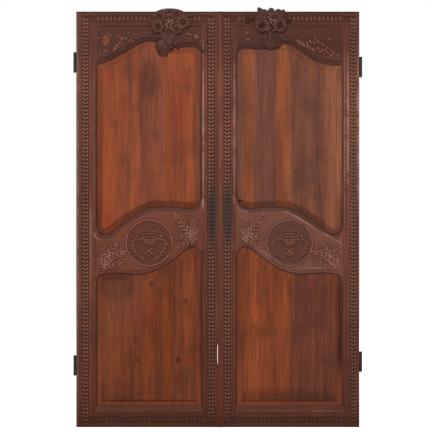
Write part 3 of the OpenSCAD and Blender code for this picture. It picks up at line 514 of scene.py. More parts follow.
def in_medallion(side, place):
    u, depth, z = leaf_mm(side, place)
    far = math.hypot(u - OPENING_MIDDLE[side] / MM, z - MIDDLE_Z)
    return depth < GROUND_SINK - 0.05 and far < MEDALLION_R - RING_W - 0.4


def stands_proud(side, place):
    u, depth, z = leaf_mm(side, place)
    return -5 < depth < -0.05 and u < SIGHT_MEETING[side] / MM


def press(obj, test, depth):
    """Presses the places that pass the test flat, that many millimetres behind the face."""
    pick(obj, test)
    bpy.ops.transform.resize(value=(1, 0, 1), center_override=(0, FACE_Y + depth * MM, 0))
    bpy.ops.mesh.select_all(action="SELECT")
    bpy.ops.mesh.remove_doubles(threshold=WELD)
    bpy.ops.mesh.dissolve_degenerate(threshold=WELD)
    bpy.ops.mesh.dissolve_limited(angle_limit=FLAT)
    bpy.ops.mesh.delete_loose(use_verts=True, use_edges=True, use_faces=False)
    bpy.ops.mesh.select_mode(type="EDGE")
    bpy.ops.mesh.select_all(action="DESELECT")
    bpy.ops.mesh.select_non_manifold(use_wire=False, use_multi_face=False, use_non_contiguous=False,
                                     use_verts=False)
    bpy.ops.mesh.delete(type="EDGE")
    leave_edit()


# Carved forms: X along the piece, Y into the wood, Z across

def leaf_blank(name, segments, rings, point, vein):
    """A leaf one unit long, wide and high: foot at the origin, tip on +X, flat underneath."""
    deselect()
    bpy.ops.mesh.primitive_uv_sphere_add(segments=segments, ring_count=rings, radius=0.5,
                                         location=(0.5, 0, 0), rotation=(0, math.pi / 2, 0))
    leaf = take_added(name)
    pick(leaf, whole)
    bpy.ops.mesh.bisect(plane_co=(0, 0.12, 0), plane_no=(0, 1, 0), use_fill=True, clear_outer=True)
    scale_part(leaf, lambda p: p.x > 0.6, (1, 0.85, 1 - point), (0.5, 0.12, 0))
    scale_part(leaf, whole, (1, 2, 1))
    if vein > 0:
        pick(leaf, lambda p: abs(p.z) < 0.02 and p.y < -0.3)
        bpy.ops.transform.translate(value=(0, vein, 0))
        leave_edit()
    smooth(leaf, 60)
    return leaf


def leaf_place(foot, depth, angle, length, width, rise, lift=0):
    """Places a leaf blank by its foot, in metres; turns it from +X to +Z and lifts its tip, in degrees."""
    size = Matrix.Diagonal((length, rise, width, 1))
    turn = Matrix.Rotation(math.radians(-angle), 4, "Y") @ Matrix.Rotation(math.radians(-lift), 4, "Z")
    return Matrix.Translation((foot[0], depth, foot[1])) @ turn @ size


def crescent_blank(name, width, degrees):
    """A curved stroke one unit long on Z, bowed towards -X, flat underneath."""
    stroke = leaf_blank(name, 8, 8, 0.0, 0.0)
    pick(stroke, whole)
    bpy.ops.transform.translate(value=(-0.5, 0, 0))
    bpy.ops.transform.resize(value=(1, 1, width), center_override=(0, 0, 0))
    bpy.ops.transform.rotate(value=math.pi / 2, orient_axis="Y", center_override=(0, 0, 0))
    leave_edit()
    bow = stroke.modifiers.new("bow", "SIMPLE_DEFORM")
    bow.deform_method = "BEND"
    bow.deform_axis = "Y"
    bow.angle = math.radians(degrees)
    apply_modifiers(stroke)
    return stroke


def bead_blank(name, segments, rings):
    """A round boss of radius one, flat underneath."""
    deselect()
    bpy.ops.mesh.primitive_uv_sphere_add(segments=segments, ring_count=rings, radius=1.0,
                                         rotation=(math.pi / 2, 0, 0))
    bead = take_added(name)
    pick(bead, whole)
    bpy.ops.mesh.bisect(plane_co=(0, 0.15, 0), plane_no=(0, 1, 0), use_fill=True, clear_outer=True)
    leave_edit()
    smooth(bead, 60)
    return bead


def bead_place(at, depth, wide, rise, high=None):
    """Places a bead blank: half its width, its rise and, where it isn't round, half its height, in metres."""
    return Matrix.Translation((at[0], depth, at[1])) @ Matrix.Diagonal((wide, rise, high or wide, 1))


def carved_rod(points, radii, depth):
    """A round stem through points across and up the face, in metres, half sunk in the wood."""
    deselect()
    bpy.ops.curve.primitive_bezier_curve_add(radius=1, location=(0, 0, 0))
    rod = bpy.context.active_object
    line = rod.data.splines[0]
    line.bezier_points.add(len(points) - 2)
    for knot, place, radius in zip(line.bezier_points, points, radii):
        knot.co = (place[0], depth, place[1])
        knot.radius = radius
        knot.handle_left_type = "AUTO"
        knot.handle_right_type = "AUTO"
    rod.data.dimensions = "3D"
    rod.data.resolution_u = 5
    rod.data.bevel_depth = 1.0
    rod.data.bevel_resolution = 1
    rod.data.use_fill_caps = True
    make_active(rod)
    bpy.ops.object.convert(target="MESH")
    rod = bpy.context.active_object
    pick(rod, whole)
    bpy.ops.mesh.remove_doubles(threshold=0.000001)
    bpy.ops.mesh.normals_make_consistent(inside=False)
    leave_edit()
    smooth(rod, 60)
    return rod


def bend(stem, t):
    """A point on a stem given by its start, bend and end; t runs from 0 to 1."""
    a, b, c = (Vector(p) for p in stem)
    return (1 - t) ** 2 * a + 2 * t * (1 - t) * b + t ** 2 * c


def heading(stem, t):
    """The stem's direction there, in degrees."""
    a, b, c = (Vector(p) for p in stem)
    way = (1 - t) * (b - a) + t * (c - b)
    return math.degrees(math.atan2(way.y, way.x))


# Shader maths

class Val:
    """A socket, or a number, on which arithmetic adds Math nodes."""

    def __init__(self, tree, socket):
        self.tree = tree
        self.socket = socket

    def node(self, kind, settings=None, **sockets):
        made = self.tree.nodes.new(kind)
        for key, value in (settings or {}).items():
            setattr(made, key, value)
        for key, value in sockets.items():
            index = int(key[1:]) if key[0] == "i" and key[1:].isdigit() else key.replace("_", " ")
            plug(self.tree, made.inputs[index], value)
        return made

    def math(self, operation, *values, clamp=False):
        inputs = {f"i{i}": v for i, v in enumerate(values)}
        made = self.node("ShaderNodeMath", {"operation": operation, "use_clamp": clamp}, **inputs)
        return Val(self.tree, made.outputs[0])

    def __add__(self, other):
        return self.math("ADD", self, other)

    __radd__ = __add__

    def __mul__(self, other):
        return self.math("MULTIPLY", self, other)

    __rmul__ = __mul__

    def __sub__(self, other):
        return self.math("SUBTRACT", self, other)

    def __rsub__(self, other):
        return self.math("SUBTRACT", other, self)

    def __truediv__(self, other):
        return self.math("DIVIDE", self, other)

    def __pow__(self, other):
        return self.math("POWER", self, other)

    def between(self, low, high):
        """0 below low, 1 above high, smooth between."""
        made = self.node("ShaderNodeMapRange", {"interpolation_type": "SMOOTHSTEP", "clamp": True},
                         Value=self, From_Min=low, From_Max=high, To_Min=0.0, To_Max=1.0)
        return Val(self.tree, made.outputs[0])

    def below(self, low, high):
        """1 below low, 0 above high, smooth between."""
        return 1 - self.between(low, high)

    def within(self, low, low_end, high, high_end):
        """Rises from 0 to 1 between the first two values and falls to 0 between the last two."""
        return self.between(low, low_end) * self.below(high, high_end)

    def clamp(self):
        return self.math("ADD", self, 0.0, clamp=True)

    def greatest(self, other):
        return self.math("MAXIMUM", self, other)


def plug(tree, socket, value):
    if isinstance(value, Val):
        tree.links.new(value.socket, socket)
    elif hasattr(value, "__len__") and len(value) == 3 and socket.type == "RGBA":
        socket.default_value = (*value, 1.0)
    else:
        socket.default_value = value


class Finish:
    """One material with a Principled shader, its Object coordinates and the usual helpers."""

    def __init__(self, name):
        self.material = bpy.data.materials.new(name)
        self.material.use_nodes = True
        self.tree = self.material.node_tree
        self.shader = self.tree.nodes["Principled BSDF"]
        self.tool = Val(self.tree, None)
        self.place = Val(self.tree, self.tool.node("ShaderNodeTexCoord").outputs["Object"])
        parts = self.tool.node("ShaderNodeSeparateXYZ", None, Vector=self.place)
        self.x, self.y, self.z = (Val(self.tree, parts.outputs[i]) for i in range(3))

    def behind_face(self):
        """Millimetres behind the face of the frame."""
        return (self.y - FACE_Y) / MM

    def stretched(self, scale):
        made = self.tool.node("ShaderNodeMapping", None, Vector=self.place, Scale=scale)
        return Val(self.tree, made.outputs[0])

    def noise(self, vector, scale, detail=3.0, roughness=0.55, distortion=0.0):
        made = self.tool.node("ShaderNodeTexNoise", None, Vector=vector, Scale=scale, Detail=detail,
                              Roughness=roughness, Distortion=distortion)
        return Val(self.tree, made.outputs["Fac"])

    def mix(self, share, a, b, kind="MIX"):
        settings = {"data_type": "RGBA", "blend_type": kind, "clamp_factor": True}
        made = self.tool.node("ShaderNodeMix", settings)
        plug(self.tree, made.inputs[0], share)
        plug(self.tree, made.inputs[6], a)
        plug(self.tree, made.inputs[7], b)
        return Val(self.tree, made.outputs[2])

    def tint(self, tone, factors):
        return self.mix(1.0, tone, factors, "MULTIPLY")

    def spot(self, x, z, wide, high, soft, turn=0):
        """1 inside an ellipse on the face, fading to 0 outside it."""
        across, up = self.x - x, self.z - z
        if turn:
            c, s = math.cos(math.radians(turn)), math.sin(math.radians(turn))
            across, up = across * c + up * s, up * c - across * s
        across, up = across / wide, up / high
        far = (across * across + up * up) ** 0.5
        return far.below(1 - soft, 1 + soft)

    def ellipse(self, mark, turn=0):
        """1 on a mark given in millimetres by its middle, half width and half height, turned in degrees."""
        return self.spot(*metres(*mark), 0.45, turn)

    def disc(self, side, radius):
        """1 inside a circle round the middle of a medallion, its radius in millimetres."""
        return self.spot(pair_x(side, OPENING_MIDDLE[side]), *metres(MIDDLE_Z, radius, radius), 0.03)

    def bump(self, height, strength, distance):
        made = self.tool.node("ShaderNodeBump", None, Height=height, Strength=strength, Distance=distance)
        return Val(self.tree, made.outputs["Normal"])

    def set(self, **sockets):
        for key, value in sockets.items():
            plug(self.tree, self.shader.inputs[key.replace("_", " ")], value)
        return self.material


def shade(colour, factor):
    return tuple(c * factor for c in colour)


def blend(a, b, share):
    return tuple(p + share * (q - p) for p, q in zip(a, b))


def tinted(colour, factors):
    return tuple(c * k for c, k in zip(colour, factors))


def grain_scale(along):
    return (1.0, 1.0, 0.05) if along == "Z" else (0.05, 1.0, 1.0)


def grain(f, colour, along, contrast):
    """Tone and relief of wood under wax, with dark purplish and light orange streaks along the grain."""
    dark = tinted(colour, DARK_STREAK)
    light = tinted(colour, LIGHT_STREAK)
    run = f.stretched(grain_scale(along))
    broad = f.noise(run, 20.0, 3.0, 0.6, 0.5)
    streaks = f.noise(run, 78.0, 4.0, 0.65, 0.3)
    fibres = f.noise(run, 280.0, 3.0, 0.6)
    clouds = f.noise(f.place, 6.0, 3.0, 0.55)
    tone = colour
    for mask, share, streak in (
        (broad.between(0.48, 0.68), 0.7, light), (broad.below(0.34, 0.48), 0.5, dark),
        (streaks.between(0.5, 0.68), 0.5, light), (streaks.below(0.34, 0.5), 0.5, dark),
        (clouds.between(0.5, 0.7), 0.5, dark), (fibres.between(0.5, 0.68), 0.4, dark),
    ):
        tone = f.mix(mask * share * contrast, tone, streak)
    return tone, streaks * 0.5 + fibres * 0.5


def frame_wood(name, colour, worn, wax_and_shade, along):
    """Wood of the stiles and rails, darker towards both ends, with marks of age, dark wax and painted shade
    in the hollows and on the end edges, and painted highlights along the mouldings.
    """
    f = Finish(name)
    tone, relief = grain(f, colour, along, 1.0)
    bare = f.tint(tone, BARE)
    depth = f.behind_face()
    level = along == "X"
    tone = f.mix(f.z.between(*TOP_ZONE) * (0.8 if level else 0.5), tone, tinted(colour, TOP_TINT))
    tone = f.mix(f.z.below(*FOOT_ZONE) * 0.6, tone, tinted(colour, FOOT_TINT))
    if level:
        middle = f.z.within(*MIDDLE_ZONE)
        rails = f.mix(f.x.between(-0.02, 0.02), shade(colour, 1.34), shade(blend(colour, worn, 0.20), 1.15))
        tone = f.mix(middle * 0.65, tone, rails)
    else:
        tone = toned_by_height(f, tone)
    patches = f.noise(f.place, 30.0, 4.0, 0.6)
    # Painted shade on the ground between the sprays
    for *mark, share in SHADED_HOLLOWS:
        tone = f.mix(f.ellipse(mark) * (0.3 + 0.9 * patches).clamp() * share, tone, shade(colour, 0.5))
    # Painted shadow with dark wax in the quirk at the step of each moulding, and painted shade with wax along
    # the foot of the mouldings
    quirk_wax_and_shade = 0.3 + 0.5 * f.z.between(1.2, 1.4) if level else 0.4
    tone = f.mix(depth.within(*QUIRK) * quirk_wax_and_shade, tone, wax_and_shade)
    tone = f.mix(depth.between(*MOULDING_FOOT) * 0.75, tone, wax_and_shade)
    if level:
        upper = middle * above_slope(f) * depth.between(2.3, 2.6)
        tone = f.mix(upper * 0.65, tone, shade(colour, 0.45))
    tone = sunk_ground(f, tone, colour, depth)
    # Worn spots, and painted highlights along the mouldings and the outer edges of the leaves
    for *mark, share, slant in RUBBED_AND_HIGHLIGHTS:
        tone = f.mix(f.ellipse(mark, slant) * patches.between(0.25, 0.6) * share, tone, worn)
    for *mark, share in GRIME:
        tone = f.mix(f.ellipse(mark) * (0.6 + 0.4 * patches) * share, tone, GRIME_TONE)
    for *mark, share in SCARS:
        tone = f.mix(f.ellipse(mark) * share, tone, wax_and_shade)
    # Painted shade on the rounded top and bottom edges of the leaves
    ends = end_edges(f)
    tone = f.mix(ends * 0.85, tone, wax_and_shade)
    tone = f.mix(depth.between(*FRAME_BACK), tone, bare)
    return f.set(Base_Color=tone, Roughness=0.44 + 0.2 * relief + 0.4 * ends,
                 Normal=f.bump(relief, 0.3, 0.0006), Specular_IOR_Level=0.12)


def above_slope(f):
    """1 above the middle lines of the two S-shaped rails."""
    left, right = (
        (f.z - MIDDLE_Z * MM - WAY[s] * RAIL_SLOPE * (f.x - pair_x(s, OPENING_MIDDLE[s]))).between(0, 0.02)
        for s in SIDES
    )
    half = f.x.between(-0.001, 0.001)
    return left * (1 - half) + right * half


def sunk_ground(f, tone, colour, depth):
    """Darker ground of the medallions, painted shade along both sides of their rings, and painted shade on
    the sunk ground of the carved bands.
    """
    for side in SIDES:
        inside = f.disc(side, MEDALLION_R - 8) * depth.between(*MEDALLION_GROUND)
        tone = f.mix(inside * 0.8, tone, tinted(colour, MEDALLION_TINT[side]))
        # Painted shade in thin lines along both sides of the ring
        rim = f.disc(side, MEDALLION_R + 7) * (1 - f.disc(side, MEDALLION_R - 9))
        tone = f.mix(rim * 0.65, tone, shade(colour, 0.35))
    # Painted shade on the sunk ground of the carved bands, between their leaves
    sunk = depth.between(*BAND_GROUND) * 0.9
    bands = [f.x.within(low - 0.001, low, high, high + 0.001) for low, high in band_ranges()]
    for middle in (END_BAND_MIDDLE * MM, LEAF_H - END_BAND_MIDDLE * MM):
        bands.append(((f.z - middle) ** 2).below(0.0150 ** 2, 0.0165 ** 2))
    for band in bands:
        tone = f.mix(band * sunk, tone, shade(colour, 0.42))
    return tone


def end_edges(f):
    """1 on the top and bottom edges of the leaves."""
    return f.z.between(LEAF_H - 0.006, LEAF_H - 0.004).greatest(f.z.below(0.004, 0.008))


def toned_by_height(f, tone):
    """Wood darker and redder near the floor and lighter at shoulder height."""
    tone = f.mix(f.z.below(*FLOOR_ZONE), tone, f.tint(tone, FLOOR_TINT))
    return f.mix(f.z.within(*SHOULDER_ZONE), tone, f.tint(tone, SHOULDER_TINT))


def band_ranges():
    """Both edges of each upright band across the pair, a little wide."""
    half = (BAND_W / 2 + 1.5) * MM
    middles = [pair_x(side, u * MM) for side in SIDES for u in band_middles(side)]
    return [(x - half, x + half) for x in middles]


def panel_wood(name, colour, wax_and_shade, look):
    """Wood of a panel, glued up of boards of unlike tone, with knots and stains, and painted shade and
    painted light on its bevels.
    """
    f = Finish(name)
    tone, relief = grain(f, colour, "Z", look["contrast"])
    wobble = (f.x + 0.03 * (f.noise(f.stretched((1, 1, 0.2)), 12.0) - 0.5)) / MM
    for low, high, tint, share in look["boards"]:
        inside = wobble.within(low - 9, low + 9, high - 9, high + 9)
        tone = f.mix(inside * share, tone, f.tint(tone, tint))
    bare = f.tint(tone, BARE)
    ragged = (0.4 + 0.9 * f.noise(f.stretched((1, 1, 0.25)), 40.0, 4.0, 0.6)).clamp()
    # Stains and knots, and painted shade and light along the bevels and below the middle rails
    for *mark, tint, share in look["stains_and_shading"]:
        tone = f.mix(f.ellipse(mark) * ragged * share, tone, f.tint(tone, tint))
    depth = f.behind_face()
    low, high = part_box(name)
    shadow = f.x.below(low.x + 0.03, low.x + 0.06).greatest(f.z.between(high.z - 0.24, high.z - 0.10))
    tone = f.mix(depth.between(*BEVEL) * shadow * look["shadow"], tone, shade(colour, 0.5))
    # Near the foot of the lower bevel: darker on the upper panels, painted light on the lower panels
    sill = f.z.below(low.z + 0.10, low.z + 0.26)
    tone = f.mix(depth.between(*LOWER_BEVEL) * sill * 0.5, tone, shade(colour, look["sill"]))
    # Dark wax and painted shade at the foot of the bevel, by the lip of the moulding
    tone = f.mix(depth.between(*BEVEL_FOOT) * 0.7, tone, wax_and_shade)
    tone = f.mix(depth.between(*PANEL_BACK), tone, bare)
    return f.set(Base_Color=tone, Roughness=0.46 + 0.2 * relief, Normal=f.bump(relief, 0.25, 0.0006),
                 Specular_IOR_Level=0.08)


def carved_wood(name, colour, tip, wax_and_shade, low, high, rubbed_and_lit):
    """Carving with dark wax and painted shade below and worn tips with painted highlights, between two depths
    behind the face in millimetres.
    """
    f = Finish(name)
    tone, relief = grain(f, colour, "Z", 0.6)
    height = (f.behind_face() - low) / (high - low)
    patches = f.noise(f.place, 45.0, 4.0, 0.6)
    tone = f.mix(f.z.within(1.55, 1.74, 1.78, 1.80) * 0.35, tone, shade(colour, 0.5))
    # Dark wax and painted shade on the low parts
    tone = f.mix(height.below(0.0, 0.5) * 0.85, tone, wax_and_shade)
    # Worn tips with painted highlights on the high parts
    rub_and_highlight = height.between(0.55, 1.0) * (0.35 + 0.65 * patches.between(0.35, 0.6)) * rubbed_and_lit
    rub_and_highlight = rub_and_highlight * (1 - 0.4 * f.z.within(1.55, 1.70, 1.78, 1.80))
    tone = toned_by_height(f, f.mix(rub_and_highlight, tone, tip))
    tone = f.mix(f.z.below(0.04, 0.07) * 0.45, tone, wax_and_shade)
    for *mark, share in GRIME:
        tone = f.mix(f.ellipse(mark) * share * 0.9, tone, CARVING_GRIME)
    return f.set(Base_Color=tone, Roughness=0.42 + 0.15 * patches, Normal=f.bump(relief, 0.2, 0.0005),
                 Specular_IOR_Level=0.15)


def crest_wood(name, side, rail, middle, dark, wax_and_shade, tip):
    """Carving like its rail at the rim, with painted shade between the flowers of its middle and worn tips
    with painted highlights.
    """
    f = Finish(name)
    tone, relief = grain(f, middle, "Z", 0.6)
    x = pair_x(side, CREST_U[side] * MM)
    z = LEAF_H - CREST_DROP * MM
    core_shade = f.spot(x, z, 0.062, 0.046, 0.35)
    heart = f.spot(x, z, 0.022, 0.050, 0.4)
    rise = (FACE_Y - f.y) / MM
    patches = f.noise(f.place, 60.0, 4.0, 0.6)
    # Painted shade between the flowers of the middle, darkest at its heart
    tone = f.mix(rise.below(3.0, 8.0), tone, f.mix(core_shade, rail, f.mix(heart, dark, wax_and_shade)))
    # Worn tips with painted highlights, strongest at the heart
    rub_and_highlight = rise.between(8.5, 13.0) * (0.25 + 0.75 * patches.between(0.4, 0.6))
    tone = f.mix(rub_and_highlight * (0.45 + 0.55 * heart), tone, tip)
    return f.set(Base_Color=tone, Roughness=0.42 + 0.15 * patches, Normal=f.bump(relief, 0.2, 0.0005),
                 Specular_IOR_Level=0.15)


def worn_arris(name, worn, colour):
    """Edges of the frame, worn in patches, dark near the floor, and with painted shade on the end edges."""
    f = Finish(name)
    patches = f.noise(f.place, 14.0, 4.0)
    tone = f.mix(patches.between(0.32, 0.62), blend(colour, worn, 0.1), blend(colour, worn, 0.75))
    tone = f.mix(f.z.below(0.030, 0.060) * 0.7, tone, shade(colour, 0.35))
    # Painted shade on the top and bottom edges
    tone = f.mix(end_edges(f) * 0.85, tone, shade(colour, 0.2))
    return f.set(Base_Color=tone, Roughness=0.45 + 0.1 * patches, Specular_IOR_Level=0.15)


def black_iron(name, colour):
    """Pitted black iron with a little rust."""
    f = Finish(name)
    pits = f.noise(f.place, 300.0, 4.0, 0.7)
    rust = f.noise(f.place, 40.0, 4.0, 0.7)
    tone = f.mix(rust.between(0.55, 0.75) * 0.7, colour, RUST)
    return f.set(Base_Color=tone, Metallic=0.7 - 0.5 * rust.between(0.5, 0.7), Roughness=0.5 + 0.2 * pits,
                 Normal=f.bump(pits, 0.4, 0.0005))


def finishes(context):
    """The doors' materials, made once and kept by name."""
    named = bpy.data.materials
    if "frame wood upright" not in named:
        tone = context.scene.door_finish
        worn, wax_and_shade = tuple(tone.worn_and_lit_wood), tuple(tone.old_wax_and_shade)
        frame, panel = tuple(tone.frame_wood), tuple(tone.panel_wood)
        frame_wood("frame wood upright", frame, worn, wax_and_shade, "Z")
        frame_wood("frame wood level", frame, worn, wax_and_shade, "X")
        dark = tuple(tone.carving)
        carved_wood("laurel", blend(frame, worn, 0.15), worn, shade(frame, 0.34), 3.4, -1.8, 0.45)
        stroke = blend(frame, worn, 0.3)
        carved_wood("end bands", shade(frame, 0.9), stroke, shade(frame, 0.3), 3.4, -0.6, 0.5)
        rubbed_and_lit = blend(shade(frame, 2.0), worn, 0.45)
        carved_wood("sprays", shade(frame, 1.1), rubbed_and_lit, shade(frame, 0.35), 0.6, -4.2, 0.85)
        carved_wood("medallion", frame, rubbed_and_lit, shade(frame, 0.3), 2.4, -4.0, 0.8)
        bundle = blend(shade(frame, 0.75), dark, 0.4)
        carved_wood("crest foliage", bundle, shade(worn, 0.6), shade(frame, 0.35), 6, -7, 0.5)
        petals = blend(shade(frame, 0.7), dark, 0.4)
        for side, strength in (("left", 1.0), ("right", 0.75)):
            crest_wood(f"{side} crest", side, shade(frame, 0.5), shade(petals, strength),
                       shade(dark, strength), shade(wax_and_shade, 0.6), worn)
        for part, look in PANELS.items():
            panel_wood(part, tinted(panel, look["tone"]), wax_and_shade, look)
        worn_arris("worn arris", worn, frame)
        black_iron("black iron", tuple(tone.iron))
    return named


# Pieces

class DOORS_OT_frame(Operator):
    """Stiles and rails with worn arrises"""
    bl_idname = "doors.frame"
    bl_label = "Frame members"

    def execute(self, context):
        named = finishes(context)
        for side in SIDES:
            for part in ("hinge_stile", "meeting_stile", "top_rail", "middle_rail", "bottom_rail"):
                along = "upright" if part.endswith("stile") else "level"
                self.member(context, side, part, named[f"frame wood {along}"], named["worn arris"])
        return {"FINISHED"}

    def member(self, context, side, part, wood, arris):
        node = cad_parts[f"{side}_{part}"]
        piece = copy_solid(node, f"{side}_{part}_wood")
        press(piece, lambda place: on_band(side, place), BAND_SINK)
        if part in ("top_rail", "middle_rail"):
            press(piece, lambda place: in_medallion(side, place), GROUND_SINK)
            press(piece, lambda place: stands_proud(side, place), 0)
        if part == "meeting_stile":
            self.close_gap(piece)
        dress(piece, wood, arris)
        for polygon in piece.data.polygons:
            polygon.material_index = 0
        wear = piece.modifiers.new("wear", "BEVEL")
        wear.width = context.scene.door_work.arris
        wear.segments = 2
        wear.limit_method = "ANGLE"
        wear.angle_limit = math.radians(60)
        wear.material = 1
        wear.use_clamp_overlap = True
        apply_modifiers(piece)
        smooth(piece, 35)
        flat = piece.modifiers.new("flat faces", "WEIGHTED_NORMAL")
        flat.keep_sharp = True
        apply_modifiers(piece)
        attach(piece, BODY[side])
        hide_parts(node.name)

    def close_gap(self, piece):
        """Brings the meeting edge up to the other leaf's, its worn hollow shallower."""
        scale_part(piece, lambda place: abs(place.x) < 0.3 * MM, (0.02, 1, 1))
        deep, rim, foot, head = metres(-9, -1, 270, 384)
        scale_part(piece, lambda place: deep < place.x < rim and foot < place.z < head,
                   (0.12, 1, 1), (rim, 0, 0))


def copy_solid(node, name):
    """A merged copy of a solid's mesh, with its flat faces whole again."""
    piece = bpy.data.objects.new(name, node.data.copy())
    bpy.context.collection.objects.link(piece)
    pick(piece, whole)
    bpy.ops.mesh.remove_doubles(threshold=WELD)
    bpy.ops.mesh.dissolve_limited(angle_limit=FLAT)
    leave_edit()
    return piece


class DOORS_OT_panels(Operator):
    """Raised and fielded panels"""
    bl_idname = "doors.panels"
    bl_label = "Panels"

    def execute(self, context):
        named = finishes(context)
        for side in SIDES:
            for part in ("upper_panel", "lower_panel"):
                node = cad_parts[f"{side}_{part}"]
                piece = copy_solid(node, f"{side}_{part}_wood")
                smooth(piece, 10)
                dress(piece, named[node.name])
                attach(piece, BODY[side])
                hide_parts(node.name)
        return {"FINISHED"}


class DOORS_OT_laurel(Operator):
    """Laurel leaves along the stiles, bowed strokes along the rails and the fillets below them"""
    bl_idname = "doors.laurel"
    bl_label = "Laurel bands"

    def execute(self, context):
        named = finishes(context)
        rise = context.scene.door_work.band_rise
        leaf = leaf_blank("laurel_leaf", 8, 6, 0.1, 0.0)
        stroke = crescent_blank("band_stroke", 0.46, 75)
        for side in SIDES:
            stiles = fuse(strew(leaf, self.stile_leaves(side, rise)), f"{side}_laurel_leaves")
            seat(stiles, side, named["laurel"])
            rails = fuse(strew(stroke, self.rail_strokes(side, rise)), f"{side}_band_strokes")
            seat(rails, side, named["end bands"])
            seat(self.fillet(side), side, named["frame wood level"])
        discard(leaf, stroke)
        return {"FINISHED"}

    def stile_leaves(self, side, rise):
        floor = (BAND_SINK - 0.2) * MM
        low = END_BAND_INSET * MM
        count = int((LEAF_H / MM - 2 * END_BAND_INSET) / STILE_PITCH)
        return [
            leaf_place((middle * MM, low + (i + 0.3) * STILE_PITCH * MM), floor, angle, *metres(*LAUREL_LEAF),
                       floor + 0.4 * rise, 5)
            for middle in band_middles(side) for i in range(count) for angle in (45, 135)
        ]

    def rail_strokes(self, side, rise):
        floor = (BAND_SINK - 0.2) * MM
        start, end = SIGHT_HINGE[side], SIGHT_MEETING[side]
        count = int((end - start) / MM / RAIL_PITCH)
        size = Matrix.Diagonal((BAND_W * MM, floor + 0.5 * rise, 0.98 * BAND_W * MM, 1))
        levels = (END_BAND_MIDDLE * MM, LEAF_H - END_BAND_MIDDLE * MM)
        return [
            Matrix.Translation((start + (i + 0.5) * RAIL_PITCH * MM, floor, level)) @ size
            for level in levels for i in range(count)
        ]

    def fillet(self, side):
        """A half-round bead along the top rail below its band."""
        start, end = SIGHT_HINGE[side] + 2 * MM, SIGHT_MEETING[side] - 2 * MM
        deselect()
        bpy.ops.mesh.primitive_cylinder_add(vertices=16, radius=FILLET_R * MM, depth=end - start,
                                            location=((start + end) / 2, 1 * MM, LEAF_H - FILLET_DROP * MM),
                                            rotation=(0, math.pi / 2, 0))
        bead = take_added(f"{side}_band_fillet")
        scale_part(bead, whole, (1, 0.7, 1))
        smooth(bead, 40)
        return bead


class DOORS_OT_sprays(Operator):
    """Leafy sprays on the top and middle rails"""
    bl_idname = "doors.sprays"
    bl_label = "Sprays of leaves"

    def execute(self, context):
        named = finishes(context)
        rise = context.scene.door_work.leaf_rise
        blank = leaf_blank("spray_leaf", 10, 8, 0.5, 0.22)
        bead = bead_blank("spray_bead", 8, 6)
        for side in SIDES:
            middle = Vector((OPENING_MIDDLE[side], MIDDLE_Z * MM))
            parts = []
            for *stem, joints, size in MIDDLE_SPRAYS:
                parts += leafy_stem(blank, [middle + Vector(p) * MM for p in stem], joints, size * MM, rise)
            for *stem, joints, size in TOP_SPRAYS[side]:
                parts += leafy_stem(blank, [self.below_top(*p) for p in stem], joints, size * MM, rise)
            parts += strew(blank, [self.between(*leaf) for leaf in TOP_LEAVES[side]])
            parts += strew(bead, [
                bead_place(self.below_top(*at), LEAF_FOOT * MM, 5 * MM, rise) for at in TOP_BEADS[side]
            ])
            for u, drop, radius, petals in TOP_FLOWERS[side]:
                parts += self.rosette(blank, self.below_top(u, drop), radius * MM, petals, rise)
            seat(fuse(parts, f"{side}_leaf_sprays"), side, named["sprays"])
        discard(blank, bead)
        return {"FINISHED"}

    def below_top(self, u, drop):
        return Vector((u * MM, LEAF_H - drop * MM))

    def between(self, u, drop, tip_u, tip_drop, width, rise):
        """Places a leaf by its foot and its tip."""
        foot = self.below_top(u, drop)
        way = self.below_top(tip_u, tip_drop) - foot
        angle = math.degrees(math.atan2(way.y, way.x))
        return leaf_place(foot, LEAF_FOOT * MM, angle, way.length, width * MM, rise * MM, 2)

    def rosette(self, blank, at, radius, petals, rise):
        turns = [360 * i / petals for i in range(petals)]
        return strew(blank, [
            leaf_place(at, LEAF_FOOT * MM, turn, radius, 0.7 * radius, rise, 6) for turn in turns
        ])


def leafy_stem(blank, stem, joints, size, rise):
    """A stem with a pair of slender leaves at each joint and one at the tip."""
    steps = [i / 8 for i in range(9)]
    points = [bend(stem, t) for t in steps]
    radii = [(3.2 - 1.4 * t) * MM for t in steps]
    places = []
    for i in range(joints):
        t = (i + 0.7) / joints
        length = size * (1.08 - 0.3 * t)
        for turn in (-34, 34):
            way = heading(stem, t) + turn
            places.append(leaf_place(bend(stem, t), LEAF_FOOT * MM, way, length, 0.3 * length, rise, 4))
    places.append(leaf_place(stem[2], LEAF_FOOT * MM, heading(stem, 1), size, 0.28 * size, rise, 3))
    return strew(blank, places) + [carved_rod(points, radii, -2.0 * MM)]


